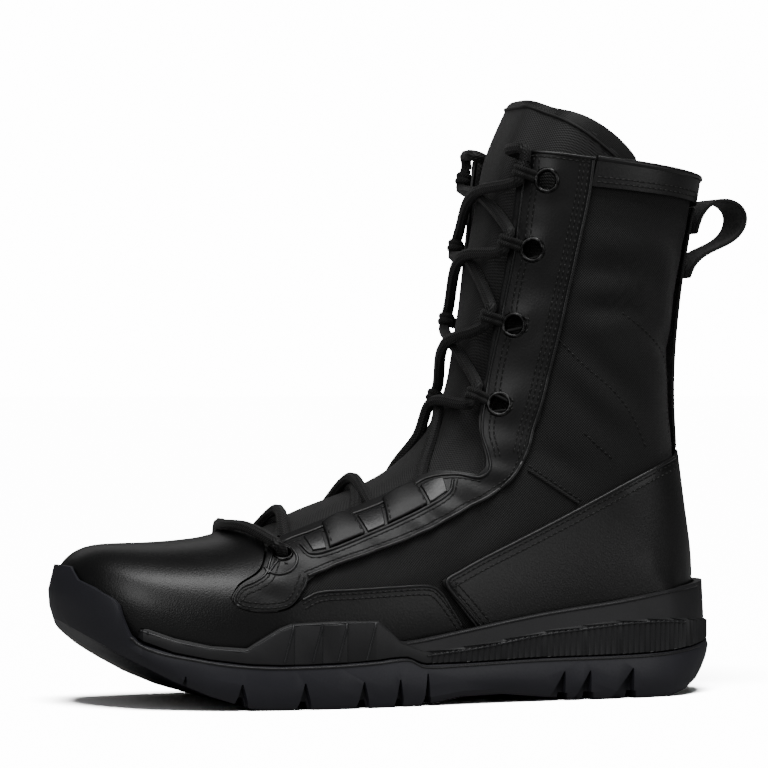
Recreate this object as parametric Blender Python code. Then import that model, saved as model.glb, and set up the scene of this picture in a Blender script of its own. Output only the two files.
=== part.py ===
"""A left lace-up military boot: cloth shaft, leather vamp and trim, lugged rubber sole.

Tables and named sizes are in millimetres. In them x runs from the toe tip to the back of the
heel, y from the outer (lateral, minus) to the inner (medial, plus) side, and z up from the floor.
The world has its origin on the floor under the heel, with the toe at minus X.
"""

import math
from collections import namedtuple

import bmesh
import bpy
import numpy as np

MM = 0.001

# Driving dimensions
SOLE_LENGTH = 306.0
BALL_WIDTH = 108.5
COLLAR_HEIGHT = 242.5
HEEL_CENTRE = 268.0
WALL = 2.0
GAP = 0.35
LIFT = 0.7
LEATHER = 1.3
LACE_RADIUS = 2.2
LOOP_WIDTH = 24.0
WEBBING = 1.7
INSOLE_THICKNESS = 3.6
SOLE_FLOOR = 7.5
CORE_INSET = 7.0
BUMPER_WALL = 4.2
RIB_PITCH = 2.8
RIB_DEPTH = 0.9
RIBS_FROM = 154.0
PLATE_EDGE = 0.3
SIDE_INSET = 0.5
LIP_INSET = 2.0
LIP_HEIGHT = 0.9
RIM_INSET = 2.2
RIM_LIP = 1.5
HEEL_RIM_INSET = 0.6
RIM_DEPTH = 9.0
CORE_BORDER = 7.0
TREAD_BORDER = 10.0
TREAD_EDGE = 2.4
SIDEWALL_LEAN = 0.8
TOE_LEAN = 1.8
TOE_FLARE = 2.9
FLARE_SHARE = 0.6
LEDGE = 0.6
LEDGE_STEP = 1.2

# The size that the tables below were drawn for. Another size is graded from it.
DRAWN_LENGTH = 306.0
DRAWN_BALL_WIDTH = 108.5
DRAWN_COLLAR_HEIGHT = 242.5

OVER = LIFT + LEATHER
DISH_CLEARANCE = OVER + 0.8

# How far down the wall, as a share of it, the leather panels reach behind the sole's rim
LOW_EDGE = 0.93
TURNED_IN = 1.22
UPPER_ROW_PIECES = (1, 1, 1, 1, 2, 2, 2, 2, 2, 2, 2, 2, 1, 1, 1, 1, 1, 2, 2, 1, 1, 1)
UPPER_SHARES = (0.0, 0.05, 0.12, 0.21, 0.33, 0.46, 0.6, 0.75, 0.9, 1.0)
INSOLE_ROWS = (3.3, 3.6, 4.0, 5.0, 6.0, 7.0, 8.0, 9.0, 10.0, 11.0, 12.0, 12.5, 13.0, 13.4, 13.7)
INSOLE_INSET = 5.0

# The last, a row for each section from the toe tip to above the collar. A section lies in the
# plane through its low point (sole or heel back) and its top point (instep or shin). Half widths
# are measured each side of a middle line that runs from y_low to y_top.
Section = namedtuple("Section", "x_low z_low x_top z_top y_low y_top low_lat low_med "
                                "wide_lat wide_med wide_at low_power top_power")
LAST = [
    Section(5.0, 49.0, 5.0, 49.0, 7.0, 7.0, 0.0, 0.0, 0.0, 0.0, 0.36, 2.2, 2.3),
    Section(6.2, 41.0, 6.2, 57.0, 7.0, 7.0, 7.0, 7.0, 12.0, 12.0, 0.36, 2.2, 2.3),
    Section(10.0, 37.5, 10.0, 63.0, 7.0, 7.0, 15.0, 15.0, 21.0, 21.0, 0.36, 2.2, 2.3),
    Section(17.0, 33.5, 17.0, 67.2, 6.0, 7.0, 24.0, 24.0, 29.5, 28.5, 0.36, 2.2, 2.3),
    Section(27.0, 29.5, 27.0, 67.9, 5.0, 7.0, 31.0, 31.5, 36.5, 34.5, 0.36, 2.2, 2.3),
    Section(45.0, 24.0, 45.0, 68.1, 3.0, 7.0, 37.5, 38.0, 42.5, 40.5, 0.36, 2.2, 2.3),
    Section(68.0, 19.6, 68.0, 69.9, 1.5, 7.0, 41.5, 40.0, 47.5, 43.5, 0.36, 2.2, 2.3),
    Section(92.0, 17.6, 92.0, 76.8, 0.0, 7.0, 42.5, 41.0, 49.5, 44.0, 0.36, 2.2, 2.3),
    Section(122.0, 17.8, 117.0, 86.0, 0.0, 7.5, 42.0, 37.5, 49.0, 41.0, 0.37, 2.2, 2.35),
    Section(156.0, 20.0, 142.0, 94.0, 0.0, 7.0, 38.5, 31.5, 47.0, 37.0, 0.38, 2.2, 2.4),
    Section(192.0, 23.2, 163.0, 105.0, 0.0, 6.0, 34.5, 29.0, 42.5, 35.0, 0.40, 2.3, 2.4),
    Section(228.0, 26.3, 175.5, 121.5, 0.0, 5.0, 31.0, 29.0, 39.5, 35.0, 0.43, 2.3, 2.35),
    Section(258.0, 28.8, 181.0, 133.5, 0.0, 4.0, 30.5, 29.5, 38.0, 34.8, 0.46, 2.4, 2.3),
    Section(278.0, 30.3, 183.0, 142.0, 0.0, 3.0, 26.0, 25.5, 37.2, 34.8, 0.48, 2.4, 2.3),
    Section(289.0, 31.3, 184.0, 149.0, 0.0, 3.0, 15.5, 15.0, 37.0, 34.8, 0.49, 2.4, 2.3),
    Section(293.5, 33.0, 184.8, 155.5, 0.0, 2.5, 0.0, 0.0, 37.0, 35.0, 0.50, 2.4, 2.3),
    Section(294.5, 53.0, 186.8, 167.5, 0.0, 2.0, 0.0, 0.0, 37.2, 35.5, 0.50, 2.4, 2.35),
    Section(291.7, 77.0, 189.4, 181.5, 0.0, 2.0, 0.0, 0.0, 37.5, 36.0, 0.50, 2.35, 2.45),
    Section(287.2, 107.0, 192.4, 196.0, 0.0, 1.5, 0.0, 0.0, 38.5, 37.5, 0.50, 2.3, 2.65),
    Section(285.6, 137.0, 195.6, 210.5, 0.0, 1.5, 0.0, 0.0, 39.5, 38.5, 0.51, 2.2, 2.75),
    Section(287.8, 169.0, 198.0, 224.0, 0.0, 1.0, 0.0, 0.0, 40.5, 39.5, 0.52, 2.2, 2.9),
    Section(292.6, 201.0, 200.4, 235.0, 0.0, 1.0, 0.0, 0.0, 41.5, 40.5, 0.52, 2.2, 3.05),
    Section(298.4, 231.0, 202.2, 242.5, 0.0, 1.0, 0.0, 0.0, 42.5, 41.5, 0.52, 2.2, 3.2),
    Section(301.0, 252.0, 209.5, 256.0, 0.0, 1.0, 0.0, 0.0, 42.5, 41.5, 0.52, 2.2, 3.2),
    Section(303.0, 272.0, 215.5, 270.0, 0.0, 1.0, 0.0, 0.0, 42.5, 41.5, 0.52, 2.2, 3.2),
]
HEEL_ROW = 15
COLLAR_ROW = 22
STEPS_PER_ROW = 8
SIDE_STEPS = 72
FLOOR_STEPS = 6

# Side views of the leather panels, on the lateral side. The medial side mirrors them.
Facing = namedtuple("Facing", "x_edge z_edge x_outer z_outer")
FACING = [
    Facing(66.5, 47.3, 66.5, 46.3),
    Facing(70.5, 52.3, 69.5, 43.3),
    Facing(77.0, 55.0, 76.0, 41.8),
    Facing(82.0, 58.0, 84.0, 41.6),
    Facing(85.0, 63.0, 91.0, 43.0),
    Facing(88.0, 68.2, 95.5, 47.0),
    Facing(95.2, 72.0, 100.7, 56.0),
    Facing(108.0, 76.2, 116.8, 61.7),
    Facing(120.3, 80.9, 128.0, 65.0),
    Facing(138.8, 87.0, 139.9, 68.8),
    Facing(152.0, 92.8, 151.5, 72.7),
    Facing(164.0, 98.7, 163.4, 77.5),
    Facing(175.0, 100.0, 176.5, 84.0),
    Facing(184.0, 98.6, 189.0, 90.0),
    Facing(188.0, 101.6, 199.5, 97.3),
    Facing(188.7, 107.0, 206.0, 107.8),
    Facing(187.2, 117.5, 209.8, 119.5),
    Facing(190.6, 136.5, 213.8, 133.0),
    Facing(194.0, 155.0, 218.4, 153.0),
    Facing(197.0, 171.5, 223.0, 175.8),
    Facing(201.5, 200.1, 227.4, 198.0),
    Facing(204.4, 226.5, 232.2, 222.0),
    Facing(207.2, 242.0, 234.6, 239.0),
]
THROAT_ROW = 5
THROAT_FRONT = 84.5

Counter = namedtuple("Counter", "x_top z_top x_low")
COUNTER = [
    Counter(161.0, 53.3, 184.0),
    Counter(180.0, 62.6, 196.0),
    Counter(200.0, 71.4, 210.0),
    Counter(220.0, 80.4, 226.0),
    Counter(238.0, 89.0, 242.0),
    Counter(245.6, 92.7, 249.5),
    Counter(253.0, 96.3, 257.0),
    Counter(260.1, 99.6, 264.5),
    Counter(267.0, 102.6, 272.0),
    Counter(273.4, 105.0, 278.0),
    Counter(279.5, 107.2, 284.0),
    Counter(285.0, 109.2, 290.5),
]
COUNTER_BACK_HEIGHT = 111.0

Mudguard = namedtuple("Mudguard", "x_top z_top x_low")
MUDGUARD = [
    Mudguard(69.2, 42.6, 69.2),
    Mudguard(76.0, 41.1, 76.0),
    Mudguard(84.0, 40.9, 84.0),
    Mudguard(91.0, 42.2, 92.0),
    Mudguard(96.0, 46.3, 100.0),
    Mudguard(104.0, 50.2, 109.0),
    Mudguard(120.0, 51.0, 122.0),
    Mudguard(139.5, 51.8, 140.0),
    Mudguard(155.6, 52.2, 160.0),
    Mudguard(159.6, 50.3, 177.0),
]

# The cuff's lower edge against the collar above it
Cuff = namedtuple("Cuff", "x_collar x_low z_low")
CUFF = [
    Cuff(235.3, 232.9, 226.0),
    Cuff(248.0, 247.6, 224.8),
    Cuff(261.0, 260.5, 223.6),
    Cuff(275.0, 274.3, 222.4),
    Cuff(288.0, 287.0, 220.9),
]
CUFF_BACK_HEIGHT = 219.6

# Where the tongue's slanted top edge meets the collar, in the side view
Line = namedtuple("Line", "x z")
TONGUE_WING = Line(262.0, 237.0)
TONGUE_TOP_ROW = 23.75
TONGUE_SEWN = (-0.28, 0.35, 1.1)
TONGUE_ROWS = 17
TONGUE_COLUMNS = (0.0, 0.3, 0.5, 0.68, 0.86, 1.15, 1.45, 1.75, 2.0)
TONGUE_TURN = 0.86
TONGUE_LEAST_HALF = 7.0
TONGUE_TUCK = 9.0
TONGUE_WIDENS = 15.0
TONGUE_SUNK = ((6.0, 3.2), (8.0, 4.6), (11.0, 6.4), (13.0, 8.2))
TONGUE_THICKNESS = 4.6
TONGUE_EDGE_THINNER = 1.8
TONGUE_TOP_THINNER = 0.35

# Plan of the sole, and its lines in the side view
Outline = namedtuple("Outline", "x lateral medial")
SOLE = [
    Outline(0.0, 7.0, 7.0),
    Outline(4.0, -8.5, 22.0),
    Outline(10.0, -19.0, 32.0),
    Outline(20.0, -30.0, 40.5),
    Outline(35.0, -40.5, 46.5),
    Outline(55.0, -48.5, 50.5),
    Outline(80.0, -54.0, 53.0),
    Outline(105.0, -56.0, 52.5),
    Outline(132.0, -55.0, 49.5),
    Outline(162.0, -50.5, 43.5),
    Outline(192.0, -47.0, 41.5),
    Outline(222.0, -45.0, 41.0),
    Outline(248.0, -44.0, 41.0),
    Outline(268.0, -41.0, 39.0),
    Outline(284.0, -34.0, 33.0),
    Outline(295.0, -24.5, 24.0),
    Outline(302.0, -14.0, 14.0),
    Outline(306.0, 0.0, 0.0),
]
SOLE_BOTTOM = [
    Line(0.0, 40.0), Line(2.0, 38.0), Line(6.0, 34.5), Line(13.0, 29.5), Line(21.0, 24.2),
    Line(30.0, 19.0), Line(43.0, 12.0), Line(55.0, 6.8), Line(66.0, 3.0), Line(76.0, 0.5),
    Line(80.0, 0.0), Line(148.0, 0.0), Line(156.0, 1.2), Line(166.0, 3.2), Line(185.0, 4.0),
    Line(203.0, 3.2), Line(214.0, 0.9), Line(219.0, 0.0), Line(286.0, 0.0), Line(291.0, 1.4),
    Line(295.0, 4.2), Line(298.5, 8.5), Line(303.0, 13.5), Line(306.0, 18.0),
]
# The heel's bevel faces back and to the outer side: its turn from straight back, and then the
# distance along that direction and the height
HEEL_BEVEL_TURN = 20.0
HEEL_BEVEL = [
    Line(269.7, 0.0), Line(276.6, 3.0), Line(281.0, 6.2), Line(284.9, 11.0), Line(288.6, 18.0),
]
OUTSOLE_TOP = [
    Line(0.0, 61.0), Line(3.2, 60.6), Line(4.8, 57.6), Line(7.0, 55.0), Line(9.9, 53.2),
    Line(12.8, 51.9), Line(15.3, 50.4), Line(18.1, 48.0), Line(20.6, 44.7), Line(21.7, 40.4),
    Line(22.9, 36.2), Line(24.2, 32.4), Line(27.2, 29.2), Line(33.5, 26.2), Line(41.6, 24.1),
    Line(49.6, 22.6), Line(60.4, 20.6), Line(71.9, 19.4), Line(83.5, 18.8), Line(108.9, 19.1),
    Line(128.0, 20.0), Line(138.7, 21.0), Line(144.5, 20.8), Line(151.3, 17.8), Line(170.9, 17.8),
    Line(206.9, 18.8), Line(243.0, 19.1), Line(268.2, 19.8), Line(296.9, 22.9), Line(306.0, 25.6),
]
MIDSOLE_FOOT = [
    Line(0.0, 43.0), Line(6.0, 39.5), Line(12.0, 36.4), Line(18.0, 33.6), Line(23.0, 31.4),
    Line(26.0, 30.3),
]
MIDSOLE_TOP = [
    Line(0.0, 48.0), Line(6.0, 45.0), Line(12.0, 42.2), Line(18.0, 39.8), Line(22.8, 37.9),
    Line(30.8, 34.6), Line(43.0, 30.4), Line(55.1, 27.8), Line(63.3, 26.9), Line(70.3, 26.6),
    Line(73.2, 28.3), Line(77.9, 30.8), Line(85.0, 35.1), Line(89.9, 36.8), Line(101.6, 37.4),
    Line(112.5, 37.6), Line(125.8, 37.7), Line(129.1, 37.4), Line(134.7, 33.2), Line(139.2, 28.8),
    Line(142.5, 28.0), Line(154.0, 29.4), Line(177.6, 33.4), Line(209.0, 38.6), Line(243.6, 43.0),
    Line(273.6, 47.4), Line(300.9, 50.4), Line(306.0, 50.6),
]
RIB_TOP = [
    Line(152.2, 22.6), Line(178.2, 25.2), Line(208.8, 30.0), Line(227.5, 31.9), Line(250.3, 34.0),
    Line(270.3, 34.3), Line(281.5, 33.6), Line(304.9, 32.1),
]
FLEX_EDGES = (90.6, 103.2, 114.5, 127.6)
FLEX_DEPTH = 1.1
SOLE_STEPS = 26
SIDE_TURNS = (18.3, 20.6, 22.0, 24.4, 27.4, 70.5, 73.5, 85.0, 90.0, 129.3, 134.5, 139.5, 143.0, 152.0)

# Notches in the side of the outsole: foot at the floor, height and run of each flank
Notch = namedtuple("Notch", "x height toe_run heel_run")
NOTCHES = [
    Notch(45.5, 15.0, 0.9, 0.9),
    Notch(68.5, 11.5, 2.8, 2.8),
    Notch(95.5, 11.5, 3.4, 3.4),
    Notch(122.0, 11.5, 3.2, 3.2),
    Notch(139.0, 12.0, 2.4, 2.2),
    Notch(152.5, 14.0, 2.0, 1.4),
    Notch(219.0, 13.0, 8.0, 0.4),
    Notch(231.5, 13.0, 8.0, 0.4),
    Notch(252.5, 13.5, 11.0, 0.4),
]
NOTCH_REACH = 5.0
NOTCH_OUTSIDE = 6.0
NOTCH_TIP = 0.3
GROOVE_HEIGHT = 3.5
GROOVE_FOOT = 3.0
GROOVE_TIP = 1.4
BELOW_TREAD = 2.0

# Side view of grommets on the lateral facing, from the toe up. The first is a small front one.
Hole = namedtuple("Hole", "name x z scale")
GROMMETS = [
    Hole("front", 92.3, 64.4, 0.70),
    Hole("4", 196.4, 129.7, 1.0),
    Hole("3", 202.6, 164.9, 1.0),
    Hole("2", 209.2, 198.0, 1.0),
    Hole("1", 214.4, 228.4, 1.0),
]
GROMMET_HOLE = 4.6
GROMMET_SIDES = 8
GROMMET_BORE = 3.5
GROMMET_BARREL = 4.2
GROMMET_FLANGE = 5.8
GROMMET_CROWN = 4.7
GROMMET_HEAD = 1.0
GROMMET_TAPER = 0.2
BORE_REACH = 9.0

# Lace keepers: how far past the grommet and above the wall they hold the lace
KEEPER_REACH = 11.8
KEEPER_RISE = 4.9
KEEPER_SLOPE = 22.0
KEEPER_THICKNESS = 1.1
KEEPER_WIDTH = 4.4
KEEPER_STEM = ((0.2, -1.2), (0.2, 1.9), (1.4, 4.6), (5.8, 5.3))
KEEPER_TURNS = (140, 85, 30, -25, -80, -125)
LACE_SIDES = 5
LACE_TURN = 3.6
LACE_STRAIGHT = 4.6
CROSSING_LIFT = 3.2
BAR_CROWN = 80.5
BAR_LIFT = 4.6
BAR_SEAT = 4.6

# The tucked lace ends go down inside the collar. Columns: row of the last, millimetres beyond the
# throat's edge, and lift off the last.
Tuck = namedtuple("Tuck", "row beyond lift")
TUCK_RISE = 5.0
TUCK_LEAN = 1.8
LACE_TUCK = [
    Tuck(21.95, -8.0, 2.0),
    Tuck(21.95, -6.4, -3.4),
    Tuck(21.6, 1.0, -5.3),
    Tuck(21.2, 6.0, -5.3),
]

# Lower facing: two leather tunnels for the lace, as shares of the facing table's rows
TUNNELS = ((7.8, 8.8), (9.9, 11.5))
TUNNEL_DEPTH = 0.62
TUNNEL_HUMP = (0.5, 1.8, 2.2, 1.2, 0.3)
TUNNEL_SWELL = (0.6, 1.0, 0.6)

# Pull loop in the side view: how far behind the boot's back, and the height
Reach = namedtuple("Reach", "behind z")
PULL_LOOP = [
    Reach(3.6, 207.0), Reach(4.1, 214.0), Reach(6.7, 219.5), Reach(12.0, 222.6),
    Reach(18.5, 222.4), Reach(24.5, 219.4), Reach(27.6, 214.0), Reach(26.4, 207.6),
    Reach(21.5, 203.2), Reach(14.5, 200.2), Reach(8.4, 197.0), Reach(4.6, 192.4),
    Reach(3.6, 187.0),
]

COLOURS = {
    "leather": ((0.012, 0.012, 0.013, 1.0), 0.38),
    "cloth": ((0.010, 0.010, 0.011, 1.0), 0.88),
    "rubber": ((0.011, 0.012, 0.013, 1.0), 0.62),
    "foam": ((0.012, 0.012, 0.013, 1.0), 0.55),
    "webbing": ((0.009, 0.009, 0.010, 1.0), 0.80),
    "lace": ((0.016, 0.016, 0.014, 1.0), 0.75),
    "metal": ((0.020, 0.020, 0.021, 1.0), 0.30),
}


def smooth(knots, values, at):
    """Read a table column between its rows, on a curve that doesn't overshoot them."""
    knots = np.asarray(knots, float)
    values = np.asarray(values, float)
    at = np.asarray(at, float)
    step = np.diff(knots)
    rise = np.diff(values) / step
    slope = np.concatenate(([rise[0]], np.zeros(len(rise) - 1), [rise[-1]]))
    same = rise[:-1] * rise[1:] > 0.0
    both = np.where(same, rise[:-1] + rise[1:], 1.0)
    slope[1:-1] = np.where(same, 2.0 * rise[:-1] * rise[1:] / both, 0.0)
    low = np.clip(np.searchsorted(knots, at, side="right") - 1, 0, len(step) - 1)
    share = np.clip((at - knots[low]) / step[low], 0.0, 1.0)
    left = 1.0 - share
    return (values[low] * (1.0 + 2.0 * share) * left ** 2
            + values[low + 1] * (3.0 - 2.0 * share) * share ** 2
            + step[low] * share * left * (slope[low] * left - slope[low + 1] * share))


def line_height(table, x):
    """Height of a side-view line at x."""
    return smooth([row.x for row in table], [row.z for row in table], x)


def ease(low, high, x):
    """Smooth step from 0 at low to 1 at high."""
    share = np.clip((np.asarray(x, float) - low) / (high - low), 0.0, 1.0)
    return share * share * (3.0 - 2.0 * share)


def to_world(points):
    """Table millimetres to world metres, graded to the boot's size."""
    points = np.asarray(points, float)
    grade = np.array([SOLE_LENGTH / DRAWN_LENGTH, BALL_WIDTH / DRAWN_BALL_WIDTH,
                      COLLAR_HEIGHT / DRAWN_COLLAR_HEIGHT])
    return (points - np.array([HEEL_CENTRE, 0.0, 0.0])) * grade * MM


class LastForm:
    """The last as one smooth surface. Along it, u counts the table's rows. Around it, w is -1 and
    1 at the lateral and medial feather edge, 0 on the ridge, and -2 and 2 mid-floor."""

    def __init__(self):
        rows = np.arange(len(LAST))
        self.u_axis = np.linspace(0, len(LAST) - 1, (len(LAST) - 1) * STEPS_PER_ROW + 1)
        columns = {}
        for name in Section._fields:
            columns[name] = smooth(rows, [getattr(row, name) for row in LAST], self.u_axis)
        loops = []
        lengths = []
        for i in range(len(self.u_axis)):
            section = Section(*(columns[name][i] for name in Section._fields))
            lateral, length = self.half_loop(section, -1)
            medial, other = self.half_loop(section, 1)
            loops.append(np.concatenate((lateral[::-1], medial[1:])))
            lengths.append((length + other) / 2.0)
        self.points = np.array(loops)
        self.lengths = np.array(lengths)
        self.section_columns = columns
        side = np.concatenate((np.linspace(0, 1, SIDE_STEPS + 1),
                               1 + np.linspace(0, 1, FLOOR_STEPS + 1)[1:]))
        self.w_axis = np.concatenate((-side[::-1], side[1:]))
        self.normals = self.surface_normals()

    @staticmethod
    def half_loop(section, side):
        """Half a section, from the ridge down one side and in to the middle of the floor."""
        low, wide = (section.low_lat, section.wide_lat)
        if side > 0:
            low, wide = (section.low_med, section.wide_med)
        turn = np.linspace(0.0, math.pi / 2, 120)
        top_t = section.wide_at + (1 - section.wide_at) * np.cos(turn) ** (2 / section.top_power)
        top_y = wide * np.sin(turn) ** (2 / section.top_power)
        low_t = section.wide_at * (1 - np.sin(turn) ** (2 / section.low_power))
        low_y = low + (wide - low) * np.cos(turn) ** (2 / section.low_power)
        share = np.concatenate((top_t, low_t[1:]))
        across = np.concatenate((top_y, low_y[1:]))
        share[-1], across[-1] = (0.0, low)
        point = np.empty((len(share), 3))
        point[:, 0] = section.x_low + (section.x_top - section.x_low) * share
        point[:, 1] = section.y_low + (section.y_top - section.y_low) * share + side * across
        point[:, 2] = section.z_low + (section.z_top - section.z_low) * share
        run = np.concatenate(([0.0], np.cumsum(np.linalg.norm(np.diff(point, axis=0), axis=1))))
        even = np.linspace(0.0, run[-1], SIDE_STEPS + 1)
        wall = np.stack([np.interp(even, run, point[:, k]) for k in range(3)], axis=1)
        floor = np.repeat(wall[-1:], FLOOR_STEPS, axis=0)
        floor[:, 1] = section.y_low + side * low * np.linspace(1, 0, FLOOR_STEPS + 1)[1:]
        return np.concatenate((wall, floor)), run[-1]

    def surface_normals(self):
        along = np.gradient(self.points, axis=0)
        around = np.gradient(self.points, axis=1)
        normal = np.cross(along, around)
        seam = FLOOR_STEPS
        back = self.u_axis >= HEEL_ROW - 1e-6
        wall = normal[:, seam:-seam]
        edge = wall[back, 1] + wall[back, -2]
        normal[back, :seam + 1] = edge[:, None]
        normal[back, -seam - 1:] = edge[:, None]
        normal[0] = np.array([-1.0, 0.0, 0.0])
        size = np.linalg.norm(normal, axis=2, keepdims=True)
        return normal / np.maximum(size, 1e-9)

    def read(self, grid, u, w):
        u = np.asarray(u, float)
        w = np.asarray(w, float)
        i = np.clip(np.searchsorted(self.u_axis, u, side="right") - 1, 0, len(self.u_axis) - 2)
        j = np.clip(np.searchsorted(self.w_axis, w, side="right") - 1, 0, len(self.w_axis) - 2)
        a = ((u - self.u_axis[i]) / (self.u_axis[i + 1] - self.u_axis[i]))[..., None]
        b = ((w - self.w_axis[j]) / (self.w_axis[j + 1] - self.w_axis[j]))[..., None]
        return ((1 - a) * ((1 - b) * grid[i, j] + b * grid[i, j + 1])
                + a * ((1 - b) * grid[i + 1, j] + b * grid[i + 1, j + 1]))

    def at(self, u, w, offset=0.0):
        """Points on the surface, pushed out along its normals by offset."""
        normal = self.normal(u, w)
        return self.read(self.points, u, w) + np.asarray(offset, float)[..., None] * normal

    def normal(self, u, w):
        normal = self.read(self.normals, u, w)
        return normal / np.maximum(np.linalg.norm(normal, axis=-1, keepdims=True), 1e-9)

    def half_girth(self, u):
        return np.interp(u, self.u_axis, self.lengths)

    def locate(self, x, z):
        """The u and w (positive) of the lateral wall point that shows at x, z from the side."""
        middle = len(self.w_axis) // 2
        wall = self.points[:, middle - SIDE_STEPS:middle + 1]
        away = (wall[..., 0] - x) ** 2 + (wall[..., 2] - z) ** 2
        i, j = np.unravel_index(np.argmin(away), away.shape)
        u, w = (self.u_axis[i], -self.w_axis[middle - SIDE_STEPS + j])
        small = 1e-3
        for _ in range(12):
            here = self.at(u, -w)
            miss = np.array([x - here[0], z - here[2]])
            by_u = (self.at(u + small, -w) - self.at(u - small, -w)) / (2 * small)
            by_w = (self.at(u, -w - small) - self.at(u, -w + small)) / (2 * small)
            slopes = np.array([[by_u[0], by_w[0]], [by_u[2], by_w[2]]])
            move = np.linalg.lstsq(slopes, miss, rcond=1e-4)[0]
            u = float(np.clip(u + np.clip(move[0], -0.3, 0.3), 0.0, len(LAST) - 1.01))
            w = float(np.clip(w + np.clip(move[1], -0.1, 0.1), 0.0, 1.0))
        return np.array([u, w])

    def row_at_low(self, x):
        """The u whose low point lies at x, along the feather edge."""
        flat = self.u_axis <= HEEL_ROW
        return np.interp(x, self.section_columns["x_low"][flat], self.u_axis[flat])

    def row_at_top(self, x):
        """The u whose ridge point lies at x."""
        return np.interp(x, self.section_columns["x_top"], self.u_axis)

    def row_at_back(self, z):
        """The u whose back point lies at height z, on the heel and shaft."""
        back = self.u_axis >= HEEL_ROW
        return np.interp(z, self.section_columns["z_low"][back], self.u_axis[back])

    def back_x(self, z):
        """How far back the boot reaches at height z."""
        return float(np.interp(self.row_at_back(z), self.u_axis, self.section_columns["x_low"]))


def make_material(name):
    colour, roughness = COLOURS[name]
    material = bpy.data.materials.new(name)
    material.use_nodes = True
    shader = material.node_tree.nodes["Principled BSDF"]
    shader.inputs["Base Color"].default_value = colour
    shader.inputs["Roughness"].default_value = roughness
    shader.inputs["Metallic"].default_value = 1.0 if name == "metal" else 0.0
    return material


def closed_object(name, points, faces):
    """An object from table points, with its faces turned outwards."""
    mesh = bpy.data.meshes.new(name)
    mesh.from_pydata([tuple(point) for point in to_world(points)], [], faces)
    shape = bmesh.new()
    shape.from_mesh(mesh)
    bmesh.ops.triangulate(shape, faces=shape.faces, quad_method="SHORT_EDGE")
    bmesh.ops.recalc_face_normals(shape, faces=shape.faces)
    if shape.calc_volume(signed=True) < 0.0:
        bmesh.ops.reverse_faces(shape, faces=shape.faces)
    shape.to_mesh(mesh)
    shape.free()
    item = bpy.data.objects.new(name, mesh)
    bpy.context.collection.objects.link(item)
    return item


def make_object(name, points, faces, material, smooth_angle=35.0):
    """One sub-part of the boot."""
    item = closed_object(name, points, faces)
    item.data.materials.append(material)
    item.data.shade_smooth()
    item.data.set_sharp_from_angle(angle=math.radians(smooth_angle))
    return item


def weld(outer, inner, faces):
    """Join sheet points that share an outer place, and drop what collapses."""
    keys = [tuple(np.round(point, 4)) for point in outer]
    order = {}
    for key in keys:
        order.setdefault(key, len(order))
    index = np.array([order[key] for key in keys])
    count = np.bincount(index).astype(float)
    new_outer = np.stack([np.bincount(index, outer[:, k]) / count for k in range(3)], axis=1)
    new_inner = np.stack([np.bincount(index, inner[:, k]) / count for k in range(3)], axis=1)
    new_faces = []
    for face in faces:
        corners = list(dict.fromkeys(index[list(face)]))
        if len(corners) > 2:
            new_faces.append(corners)
    return new_outer, new_inner, new_faces


def make_sheet_solid(name, sheets, material):
    """One closed solid from sheets of (outer, inner) point grids that share edges."""
    outer, inner, faces = ([], [], [])
    for top, under in sheets:
        rows, columns = top.shape[:2]
        start = sum(len(part) for part in outer)
        outer.append(top.reshape(-1, 3))
        inner.append(under.reshape(-1, 3))
        for i in range(rows - 1):
            for j in range(columns - 1):
                corner = start + i * columns + j
                faces.append((corner, corner + 1, corner + columns + 1, corner + columns))
    outer, inner, faces = weld(np.concatenate(outer), np.concatenate(inner), faces)
    count = len(outer)
    uses = {}
    for face in faces:
        for a, b in zip(face, face[1:] + face[:1]):
            uses.setdefault((min(a, b), max(a, b)), []).append((a, b))
    whole = list(faces)
    whole += [[corner + count for corner in reversed(face)] for face in faces]
    for sides in uses.values():
        if len(sides) == 1:
            a, b = sides[0]
            whole.append([b, a, a + count, b + count])
    return make_object(name, np.concatenate((outer, inner)), whole, material)


def panel(last, u, w, outer, inner):
    """A sheet of leather: grids of u and w lifted to two offsets."""
    return (last.at(u, w, np.full(np.shape(u), outer)), last.at(u, w, np.full(np.shape(u), inner)))


def between(first, second, count):
    """Grid of (u, w) pairs from one edge to another, count steps across."""
    share = np.linspace(0.0, 1.0, count + 1)[None, :, None]
    grid = first[:, None] * (1 - share) + second[:, None] * share
    return grid[..., 0], grid[..., 1]


def resample(rows, at):
    """Rows of (u, w) read at row numbers that may lie between them."""
    rows = np.asarray(rows)
    steps = np.arange(len(rows))
    return np.stack([smooth(steps, rows[:, k], at) for k in range(rows.shape[1])], axis=1)


def both_sides(last, u, w, outer, inner):
    return [panel(last, u, -w, outer, inner), panel(last, u, w, outer, inner)]


class FacingEdges:
    """The two edges of the lace facing as (u, w) rows, and the throat that it borders."""

    def __init__(self, last):
        self.edge = np.array([last.locate(row.x_edge, row.z_edge) for row in FACING])
        self.outer = np.array([last.locate(row.x_outer, row.z_outer) for row in FACING])
        self.edge[-1, 0] = COLLAR_ROW
        self.outer[-1, 0] = COLLAR_ROW
        self.front = float(last.row_at_top(THROAT_FRONT))

    def throat(self, u):
        """Half opening of the throat, in w, at row u."""
        rows = self.edge[THROAT_ROW:]
        opened = np.interp(u, np.concatenate(([self.front], rows[:, 0])),
                           np.concatenate(([0.0], rows[:, 1])))
        return np.where(np.asarray(u) <= self.front, 0.0, opened)


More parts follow.
